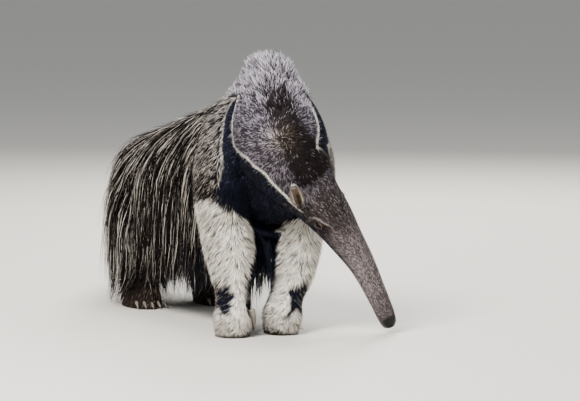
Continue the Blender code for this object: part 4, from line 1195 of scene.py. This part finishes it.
def add_foreleg_coat():
    """Coarse pale hair, which runs down and parts from the leg's front middle."""
    for (name, sign), number_of in zip(SIDES, FORELEGS):
        weight = (tri_number == number_of) & (tri_t > 2.3) & (tri_t < 9.3)
        roots, outs, place, marks = sown(STRANDS["foreleg"] * QUICK, weight)
        _, t, a = place
        rows = 2
        along, around = FORMS[number_of].ways(t, a)
        part = np.clip((a + sign * 2) / 22, -1, 1)[:, None]
        sway = rng.normal(0, 0.13, len(roots))[:, None]
        way = unit(along * 0.4 + np.array([0, 0, -0.6])) + around * (part * 0.85 + sway)
        length = np.interp(t, [2.3, 4, 6, 7.5, 8.5, 9.3],
                           [0.027, 0.027, 0.021, 0.017, 0.015, 0.012])
        length = length * any_of(0.75, 1.2, roots) * (1 - 0.3 * marks["wrist"])
        lift = 0.34 + any_of(-0.14, 0.24, roots)
        paths, faces = grow(roots, outs, lambda here, s: way, length, lift, rows, 0.0025, 0.4)
        near_claw = np.min([distance_to(paths[:, k], line) for line in CLAW_LINES
                            for k in range(rows + 1)], axis=0)
        foot = ramp(t, 8.0, 8.5)
        inner = ramp(marks["outer"], 10, -40)
        sole = ramp(roots[:, 2], 0.014 + 0.014 * inner, 0.006 + 0.010 * inner)
        root, tip = base_colours(*place, roots, marks)
        root, tip = painted(root, tip, (
            (foot, CREAM * 0.5, 0.7, CREAM * 0.85, 0.8),
            (sole, DARK, 1, DARK, 1),
            # Hair beside the bare claws is darkened: painted shade round each claw
            (ramp(near_claw, 0.022, 0.012), DARK, 0.8, DARK, 0.8),
        ))
        clump = clumped(roots, 3.0)
        dark_strand = rng.random(len(roots)) < (0.07 + 0.34 * (clump > 0.5)) * marks["cream"]
        dark_strand &= marks["wrist"] < 0.5
        tip[dark_strand] = TAN * 0.22
        root[dark_strand] = DARK
        colours = shade(root, tip, rows, 0.12, 0.10 * marks["cream"], WHITE, 0.7, 1 - clump)
        width = WIDTH["foreleg"] * any_of(0.7, 1.3, roots)
        pale = marks["cream"] + foot > 0.5
        clear = near_claw > 0.0110
        kinds = (("cream", pale & clear), ("dark", ~pale & clear))
        lay_by_kind(f"coat_foreleg_{name}", kinds, t > 6.0, paths, faces, width, colours,
                    bake_places(*place))


def add_hindleg_coat():
    """Short dark hair that lies down and back, with tan feet."""
    weight = on_hindleg & (tri_t > 0.5) & (tri_t < 6.5)
    roots, outs, place, marks = sown(STRANDS["hindleg"] * QUICK, weight)
    t = place[1]
    rows = 2
    way = np.tile([0.0, 0.25, -1.0], (len(roots), 1))
    length = np.interp(t, [0, 3, 5, 6.5], [0.045, 0.030, 0.016, 0.010]) * any_of(0.75, 1.2, roots)
    lift = 0.2 + any_of(-0.05, 0.1, roots)
    paths, faces = grow(roots, outs, lambda here, s: way, length, lift, rows, 0.002)
    root, tip = base_colours(*place, roots, marks)
    tip = blend(tip, TAN * 0.6, ramp(t, 5.0, 6.0) * 0.5)
    colours = shade(root, tip, rows, 0.4, 0.12, TAN, 1.0, clumped(roots, 3.0))
    width = WIDTH["hindleg"] * any_of(0.7, 1.3, roots)
    lay_strands("coat_hindlegs", "dark", paths, faces, width, colours, bake_places(*place))


def guide_paths(roots, outs, flow, length, clear, rise, rows, low):
    """The middle of each clump of long coat: it leaves the skin and hangs outside it."""
    veer = rng.normal(0, 0.22, len(roots))[:, None]
    here = roots - outs * 0.002
    paths, faces = [here], [outs]
    for k in range(1, rows + 1):
        s = k / rows
        way = unit(flow(here, s))
        way = unit(way + np.cross(way, outs) * veer * (1 - 1.3 * s))
        against = dot(way, outs)
        way = np.where(against < 0, unit(way - outs * against * (1 - s * s)), way)
        here = here + way * (length / rows)[:, None]
        near, normal = nearest(here)
        height = dot(here - near, normal)
        need = (0.0025 + clear + rise * length * s)[:, None]
        here = here + normal * np.maximum(0, need - height)
        outs = np.where(height < need, normal, unit(outs * 0.7 + normal * 0.3))
        here[:, 2] = np.maximum(here[:, 2], low)
        paths.append(here)
        faces.append(outs)
    return np.stack(paths, axis=1), np.stack(faces, axis=1)


def guided(name, guides, guide_outs, flow, length, clear, rise, rows, weight, colour_of,
           gather, wave, low=0.012):
    """Long coat in wavy clumps: guides first, then strands that draw together towards them."""
    paths, faces = guide_paths(guides, guide_outs, flow, length, clear, rise, rows, low)
    roots, _ = scatter(STRANDS[name] * QUICK, weight)
    owner = nearest_of(tree_of(guides), roots + rng.normal(0, 0.004, roots.shape))

    def each(values):
        return values[:, None, None]

    s = (np.arange(rows + 1) / rows)[:, None]
    start, spine, facing = guides[owner][:, None], paths[owner], faces[owner]
    stretch = each(any_of(0.72, 1.08, roots))
    made = start + (spine - start) * stretch + (roots[:, None] - start) * (1 - gather * s**0.8)
    across = unit(np.cross(np.gradient(spine, axis=1), facing))
    phase = each(any_of(0, 2 * math.pi, guides)[owner])
    cycles = each(any_of(1.0, 1.9, guides)[owner])
    swing = np.sin(phase + 2 * math.pi * cycles * s) - np.sin(phase)
    made = made + across * swing * wave * s
    made = made + across * each(rng.normal(0, 0.0042, len(roots))) * s
    kink = np.sin(each(any_of(0, 6, roots)) + s * each(any_of(5, 10, roots)))
    made = made + across * kink * wave * 0.45 * s
    made = made + facing * each(any_of(-0.55, 0.35, roots) * 0.010) * s
    stray = each(rng.random(len(roots)) < 0.06) * s**1.5
    made = made + (across * each(rng.normal(0, 0.020, len(roots))) + facing * 0.008) * stray
    made[:, :, 2] = np.maximum(made[:, :, 2], 0.004 + 0.008 * rng.random(len(roots))[:, None])
    place = ATLAS.read(roots)
    colours = colour_of(roots, place[2], rows, rng.random(len(guides))[owner])
    width = WIDTH[name] * any_of(0.6, 1.4, roots)
    lay_strands(f"coat_{name}", "dark", made, facing, width, colours, bake_places(*place), 0.15)


def belly_colours(roots, a, rows, clump):
    root = np.tile(BLACK * 0.6, (len(roots), 1))
    return shade(root, root * 1.6, rows, 0.4, 0.0, TAN, 1.0, clump)


def flank_colours(roots, a, rows, clump):
    """Near black, with a painted highlight: a pale stretch somewhere along many of the hairs."""
    n = len(roots)
    root, tip = np.tile(DARK * 0.15, (n, 1)), np.tile(BROWN * 0.15, (n, 1))
    colours = shade(root, tip, rows, 0.4, 0.0, TAN, 0.8, clump)
    front = ramp(roots[:, 1], 0.30, 0.12) * (np.abs(a) < 95)
    share = 0.30 + 0.02 * (np.abs(a) < 60) + 0.15 * front
    chosen = rng.random(n) < share * (0.7 + 0.6 * clump)
    middle = rng.uniform(-0.1, 1.1, n)[:, None]
    reach = rng.uniform(0.12, 0.30, n)[:, None]
    # The pale stretch is a painted highlight, a glint somewhere along each chosen hair
    painted_glint = bell(np.arange(rows + 1) / rows, middle, reach)
    painted_glint = (painted_glint * (chosen * rng.uniform(0.5, 1, n))[:, None])[:, :, None]
    return colours * (1 - painted_glint) + rgb(250, 240, 228) * painted_glint


def tail_colours(roots, a, rows, clump):
    n = len(roots)
    root, tip = np.tile(DARK * 0.55, (n, 1)), np.tile(BROWN * 0.6, (n, 1))
    return shade(root, tip, rows, 0.42, 0.20, rgb(190, 172, 150), 1.2, clump)


def add_belly_coat():
    """The long dark hair that hangs from the belly and chest."""
    weight = on_trunk & (tri_t > 2.4) & (tri_t < 8.8) & (round_back > 112)
    weight &= (triangle_middles[:, 0] < 0.045) | (triangle_middles[:, 1] > 0.10)
    guides, outs = scatter(GUIDES["belly"], weight)
    length = np.interp(guides[:, 1], [-0.08, 0.0, 0.2, 0.6], [0.09, 0.16, 0.17, 0.15])
    length = np.minimum(length, guides[:, 2] - 0.045) * any_of(0.75, 1.05, guides)
    outward = np.where(guides[:, :1] > 0.02, 0.12, -0.12) * np.array([1, 0, 0])

    def flow(here, s):
        return (outward + np.array([0, 0.35, 0])) * (1 - s) + np.array([0, 0, -1.0])

    guided("belly", guides, outs, flow, length, np.zeros(len(guides)), 0.0, 4, weight,
           belly_colours, 0.6, 0.003)


def add_flank_coat():
    """The wavy clumps of back, flanks, thighs and rump: back along the top, down on the side."""
    trunk = on_trunk & (tri_t < 7.6) & (round_back < 140) & ~((tri_t > 6.4) & (round_back < 40))
    weight = trunk * (1 + 1.0 * (round_back < 25)) + 0.7 * (on_hindleg & (tri_t < 2.6))
    guides, outs = scatter(GUIDES["flank"], weight)
    place = ATLAS.read(guides)
    y = guides[:, 1]
    around = np.where(place[0] == TRUNK_ID, np.abs(place[2]), 85.0)
    length = np.interp(around, [0, 24, 46, 67, 87, 107, 140],
                       [0.13, 0.16, 0.18, 0.205, 0.22, 0.20, 0.17])
    length *= np.where((y > 0.46) & (y < 0.70) & (around < 80), 1.3, 1.0)
    front = np.interp(y, [0.10, 0.17, 0.26, 0.36], [0.25, 0.40, 0.75, 1.0])
    below = np.maximum(front, np.interp(y, [0.06, 0.14], [0.5, 1.0]))
    length *= np.where(around < 75, front, below)
    length *= any_of(0.8, 1.12, guides)
    length = np.minimum(length, np.maximum(0.05, (guides[:, 2] - 0.02) / 0.80))
    clear = any_of(0, 0.007, guides)
    down = np.sin(np.radians(np.minimum(90, around + 25)))
    back = 0.75 - 0.45 * down + 0.5 * np.maximum(0, (y - 0.62) / 0.15)
    outward = np.where(guides[:, 0] > 0.008, 0.35, -0.35) * (1 - down) * ramp(around, 8, 45)

    def flow(here, s):
        return np.stack([outward, back * (1 - 0.5 * s), -down - 0.3 * s], axis=1)

    guided("flank", guides, outs, flow, length, clear, 0.10, 6, weight, flank_colours, 0.62, 0.0050)


def add_tail_coat():
    """The tail's plume: long hair that hangs from both its sides and trails past its end."""
    bone = FORMS[TAIL_ID]
    weight = (tri_number == TAIL_ID) * (tri_t > 0.6) * (0.6 + 0.8 * (round_back > 40))
    guides, outs = scatter(GUIDES["tail"], weight)
    _, t, a = ATLAS.read(guides)
    along, _ = bone.ways(t, a)
    hang = np.interp(np.abs(a), [20, 95, 180], [0.55, 2.2, 2.6]) * (1 - 0.45 * t / bone.last)

    def flow(here, s):
        way = along * np.array([1, 1, 1 - s])
        way[:, 2] -= hang * np.clip((here[:, 2] - 0.030) / 0.08, -0.3, 1.0)
        return way

    length = np.interp(np.abs(a), [0, 30, 92, 180], [0.20, 0.24, 0.29, 0.22])
    length = length * any_of(0.82, 1.1, guides)
    clear = any_of(0, 0.006, guides)
    guided("tail", guides, outs, flow, length, clear, 0.10, 5, weight,
           tail_colours, 0.75, 0.004, 0.010)


# The skin's looks, ears, eyes and claws

def finish_skin():
    """Colours the skin under its coat, and stands it in for all the nodes of flesh."""
    number, t, _ = skin_places
    marks = markings(*skin_places)
    root, tip = base_colours(*skin_places, skin_points, marks)
    lids, opening = np.zeros(len(skin_points)), np.zeros(len(skin_points))
    for x, y, z, reach in by_eye(skin_points):
        lids = np.maximum(lids, ramp(reach, 0.0112, 0.0090) * (z > -0.008))
        opening = np.maximum(opening, eye_opening(x, y) & (z > -0.01))
    height = skin_points[:, 2]
    snout = 0.8 * marks["head"] * (number == NECK_ID) * ramp(t, 5.8, 8.0)
    foot = np.isin(number, FORELEGS) * ramp(t, 8.0, 8.6)
    colours = root * 0.6 + tip * 0.12
    for colour, much in (
        (CREAM * 0.75, marks["cream"] * (1 - marks["wrist"])),
        (SNOUT * 0.30, snout),
        (rgb(44, 37, 36), lids * 0.8),
        (rgb(14, 11, 11), opening),
        (rgb(12, 11, 12), skin_wet),
        (CREAM * 0.5, foot * ramp(height, 0.008, 0.02) * 0.7),
        (DARK, ramp(height, 0.012, 0.003)),
    ):
        colours = blend(colours, colour, much)
    add_tint(skin_mesh, colours)
    add_wet(skin_mesh, skin_wet)
    names = [f"{part}_{side}" for part in ("foreleg", "forefoot", "hindleg", "hindfoot")
             for side, _ in SIDES]
    place_mesh("skin", skin_mesh, skin_points, HIDE, "coat_grey",
               "head", "neck", "torso", "tail", *names)


# An ear's sections: how far up it is, half its width, its depth, and how thick its wall is
EAR_SECTIONS = np.array([
    (-0.12, 0.30, 0.30, 1.00),
    (0.08, 0.36, 0.36, 0.80),
    (0.25, 0.46, 0.42, 0.30),
    (0.45, 0.50, 0.40, 0.20),
    (0.65, 0.47, 0.34, 0.18),
    (0.83, 0.37, 0.24, 0.18),
    (0.95, 0.22, 0.12, 0.20),
    (1.00, 0.08, 0.04, 0.50),
])


def ear_section(half, bowl, wall, span):
    """A section of the cup, outside and then inside: across it, out of it, and if inside."""
    inner = 1 - wall
    loop = [(half * math.sin(angle), -bowl * math.cos(angle), 0.0)
            for angle in np.radians(np.linspace(-100, 100, 17))]
    for degree in np.linspace(88, -88, 15):
        angle = math.radians(degree)
        fold = 0.10 * math.exp(-((degree - 25) / 18) ** 2) * max(0, 1 - abs(span - 0.4) / 0.4)
        deep = inner * math.cos(angle) - 0.1 - fold
        loop.append((half * inner * math.sin(angle), -bowl * deep, 1.0))
    return loop


def add_ears():
    """Cupped ears with a rim, a fold inside and short hair behind."""
    head = FORMS[NECK_ID]
    for side, sign in SIDES:
        centre, along, back, _ = (v[0] for v in head.frame(EAR_AT))
        out = unit(head.point(EAR_AT, sign * EAR_ROUND)[0] - centre)
        root = head.point(EAR_AT, sign * EAR_ROUND)[0] - out * 0.002
        up, rear, wide = EAR_WAYS[side]
        tip_way = unit(back * up - along * rear + out * wide)
        cup = out * 0.80 + back * 0.60
        cup = unit(cup - tip_way * (cup @ tip_way))
        lateral = np.cross(tip_way, cup)
        loops, places = [], []
        for q in np.linspace(0, len(EAR_SECTIONS) - 1, 26):
            span, width, depth, wall = smooth_between(EAR_SECTIONS, np.array([q]))[0]
            lifted = cup * EAR_RISE * min(1, max(0, span / 0.4))
            middle = root + tip_way * (span * EAR_LENGTH) + lifted
            half = width * EAR_WIDTH
            loop = ear_section(half, depth * EAR_WIDTH, min(max(wall, 0.12), 1.0), span)
            loops.append([Vector(middle + lateral * u + cup * v) for u, v, _ in loop])
            places += [(span, u / max(half, 1e-6), inside) for u, v, inside in loop]
        bm = bmesh.new()
        tube(bm, loops)
        bmesh.ops.recalc_face_normals(bm, faces=bm.faces)
        bm.normal_update()
        points = coords(bm)
        normals = np.array([v.normal for v in bm.verts])
        mesh = bpy.data.meshes.new(f"ear_cup_{side}")
        bm.to_mesh(mesh)
        bm.free()
        span, across, inside = np.array(places).T
        rim = ramp(np.abs(across), 0.62, 0.80) + ramp(span, 0.86, 0.95)
        rim = rim * (0.35 + 0.65 * inside) * ramp(span, 0.0, 0.15)
        # The left ear's inside and rim colours are halved: painted shade on the far ear, full colour
        # on the right ear
        painted_light_share = 1 if side == "right" else 0.5
        colours = np.tile(HEAD * 0.75, (len(points), 1))
        within = inside * (0.4 + 0.6 * ramp(span, 0.2, 0.7))
        colours = blend(colours, rgb(96, 80, 68) * painted_light_share, within)
        # Near black low inside the cup: painted shade in the ear's hollow, where it opens
        hollow_shade = bell(across, 0.15, 0.34) * ramp(span, 0.72, 0.5) * inside
        colours = blend(colours, rgb(14, 10, 10), hollow_shade)
        colours = blend(colours, rgb(220, 205, 182) * painted_light_share, np.clip(rim, 0, 1) * 0.8)
        add_tint(mesh, colours)
        add_wet(mesh, np.full(len(points), 0.25))
        place_mesh(f"ear_cup_{side}", mesh, points, HIDE, "coat_grey", f"ear_{side}")
        add_ear_coat(side, sign, points, normals, span, across, inside, tip_way, cup)


def add_ear_coat(side, sign, points, normals, span, across, inside, tip_way, cup):
    """Short hair on an ear, longest and palest along its rim."""
    chance = np.where(inside > 0.5, 0.12, 1.0) + 3.0 * ramp(np.abs(across), 0.8, 0.97)
    chance = (chance + 3.0 * ramp(span, 0.88, 0.97)) * (span > 0.0)
    count = int(STRANDS["ear"] * QUICK)
    picked = rng.choice(len(points), count, p=chance / chance.sum())
    across, span, inside, outs = across[picked], span[picked], inside[picked], normals[picked]
    roots = points[picked] + rng.normal(0, 0.0010, (count, 3))
    rim = np.clip(ramp(np.abs(across), 0.8, 0.97) + ramp(span, 0.88, 0.97), 0, 1)
    sideways = np.sign(across)[:, None] * np.cross(tip_way, cup)
    way = flat(tip_way + sideways * 0.15 + cup * 0.25 * rim[:, None], outs)
    length = (0.0045 + 0.0025 * rim) * any_of(0.7, 1.2, roots)
    rows = 2
    steps = [roots - outs * 0.0005]
    for k in range(1, rows + 1):
        lean = way + outs * (0.30 - 0.1 * k + 0.2 * rim[:, None])
        steps.append(steps[-1] + unit(lean) * (length / rows)[:, None])
    pale = rim * (0.25 + 0.75 * inside)
    root, tip = painted(np.tile(HEAD * 0.5, (count, 1)), np.tile(HEAD * 1.1, (count, 1)),
                        [(pale, TAN, 0.6, CREAM * 0.9, 0.85)])
    colours = shade(root, tip, rows, 0.3, 0.0, TAN, 1.0, rng.random(count))
    width = WIDTH["ear"] * any_of(0.7, 1.2, roots)
    around = np.clip(across * 80 + sign * 90, -170, 170)
    uv = bake_places(np.full(count, EAR_ID), span.clip(0, 1), around)
    faces = np.repeat(outs[:, None], rows + 1, axis=1)
    lay_strands(f"coat_ear_{side}", "grey", np.stack(steps, axis=1), faces, width, colours, uv)


def sphere():
    """The points and faces of a ball of radius 1, with the faces in one order in every run."""
    bm = bmesh.new()
    bmesh.ops.create_uvsphere(bm, u_segments=40, v_segments=28, radius=1.0)
    bm.verts.index_update()
    points = coords(bm)
    faces = []
    for face in bm.faces:
        corners = [v.index for v in face.verts]
        first = corners.index(min(corners))
        faces.append(corners[first:] + corners[:first])
    bm.free()
    return points, sorted(faces)


def add_eyes():
    """Round dark eyes with a brown ring, and lids as a soft rim round the opening."""
    wet = eye_material()
    local, faces = sphere()
    for side, middle, along, up, out in EYES:
        mesh = bpy.data.meshes.new(f"eyeball_{side}")
        mesh.from_pydata(local.tolist(), [], faces)
        front = local[:, 2]
        bulge = 1 + 0.05 * ramp(front, 0.75, 0.95)
        points = (local * EYE_RADIUS * bulge[:, None]) @ np.array([along, up, out]) + middle
        pupil = ramp(front, 0.86, 0.90)
        colours = np.tile(rgb(5, 4, 4), (len(points), 1))
        colours = blend(colours, rgb(16, 11, 9), ramp(front, 0.45, 0.6) * (1 - pupil))
        add_tint(mesh, blend(colours, rgb(6, 5, 6), pupil))
        place_mesh(f"eyeball_{side}", mesh, points, wet, "eye", f"eye_{side}")
        add_lids(side, middle, along, up, out)


def add_lids(side, middle, along, up, out):
    """A thin closed rim that follows the almond of the eye's opening."""
    steps, sides = 56, 10
    phi = 2 * math.pi * np.arange(steps) / steps
    x = EYE_HALF * np.cos(phi)
    y = almond_edge(np.cos(phi)) * np.sign(np.sin(phi))
    z = np.sqrt(np.maximum((EYE_RADIUS + LID_WIDE) ** 2 - x * x - y * y, 0.003**2))
    centres = middle + np.outer(x, along) + np.outer(y, up) + np.outer(z, out)
    ahead = unit(np.roll(centres, -1, axis=0) - np.roll(centres, 1, axis=0))
    away = unit(centres - middle)
    across = np.cross(ahead, away)
    thick = np.array([1.25 if (centre - middle) @ up > 0 else 1.0 for centre in centres])
    angle = 2 * math.pi * np.arange(sides) / sides
    offsets = (across[:, None] * np.cos(angle)[:, None] * LID_WIDE
               + away[:, None] * np.sin(angle)[:, None] * LID_DEEP)
    points = centres[:, None] + offsets * thick[:, None, None]
    bm = bmesh.new()
    rows = [[bm.verts.new(point) for point in row] for row in points]
    for low, high in zip(rows, rows[1:] + rows[:1]):
        for n in range(sides):
            m = (n + 1) % sides
            bm.faces.new((low[n], low[m], high[m], high[n]))
    bmesh.ops.recalc_face_normals(bm, faces=bm.faces)
    mesh = bpy.data.meshes.new(f"lids_{side}")
    bm.to_mesh(mesh)
    bm.free()
    inner = np.tile(0.5 + 0.5 * np.cos(angle), steps)
    upper = np.repeat(np.arange(steps) < steps / 2, sides)
    colours = np.where(upper[:, None], rgb(146, 116, 104), rgb(112, 100, 98))
    add_tint(mesh, blend(colours, rgb(24, 18, 18), ramp(inner, 0.35, 0.8)))
    add_wet(mesh, 0.1 + 0.3 * inner)
    place_mesh(f"lids_{side}", mesh, points.reshape(-1, 3), HIDE, "coat_grey")


def add_claws():
    horn = horn_material()
    for name, claw, foot, inward in all_claws():
        bm = bmesh.new()
        loops = horn_loops(claw, foot, inward, 18, 18)
        tube(bm, [[point + Vector(SHIFT) for point in loop] for loop in loops])
        obj = mesh_object(f"horn_{name}", bm)
        obj.data.materials.append(horn)
        finish_piece(obj, "horn", name)


# Floor, lights and camera

# Each lamp's place, size, power and colour
LAMPS = {
    "key": ((-2.4, -2.6, 3.0), 1.6, 400, (1.0, 0.985, 0.96)),
    "top": ((0.3, 0.4, 3.6), 1.8, 130, (0.97, 0.98, 1.0)),
    "rim": ((1.6, 2.6, 2.4), 1.2, 160, (1.0, 0.98, 0.95)),
    "fill": ((2.4, -3.0, 1.2), 2.4, 28, (0.94, 0.97, 1.0)),
}
LAMPS_AIM = Vector((0, -0.4, 0.3))


def add_stage():
    bm = bmesh.new()
    bmesh.ops.create_grid(bm, x_segments=1, y_segments=1, size=30)
    floor = mesh_object("floor", bm)
    floor.data.materials.append(floor_material())
    world = bpy.data.worlds.new("soft")
    world.use_nodes = True
    back = world.node_tree.nodes["Background"]
    back.inputs["Color"].default_value = (0.80, 0.86, 0.92, 1)
    back.inputs["Strength"].default_value = 0.50
    bpy.context.scene.world = world
    for name, (place, size, power, colour) in LAMPS.items():
        light = bpy.data.lights.new(name, "AREA")
        light.size = size
        light.energy = power
        light.color = colour
        lamp = linked(name, light)
        lamp.location = place
        lamp.rotation_euler = (LAMPS_AIM - Vector(place)).to_track_quat("-Z", "Y").to_euler()


def add_camera():
    turn, rise = math.radians(TURN), math.radians(RISE)
    right = Vector((math.cos(turn), -math.sin(turn), 0))
    view = Vector((math.sin(turn) * math.cos(rise), math.cos(turn) * math.cos(rise),
                   -math.sin(rise)))
    lens = bpy.data.cameras.new("camera")
    lens.sensor_width = SENSOR
    lens.lens = SENSOR * PER_METRE * AWAY / PICTURE_WIDE
    lens.clip_start, lens.clip_end = 0.1, 100
    camera = linked("camera", lens)
    place = Vector(TARGET) - view * AWAY + Vector(SHIFT)
    turned = Matrix((right, right.cross(view), -view)).transposed().to_4x4()
    camera.matrix_world = Matrix.Translation(place) @ turned
    bpy.context.scene.camera = camera


add_camera()
add_stage()
finish_skin()
add_ears()
add_eyes()
add_claws()
add_front_coat()
add_head_coat()
add_foreleg_coat()
add_hindleg_coat()
add_belly_coat()
add_flank_coat()
add_tail_coat()
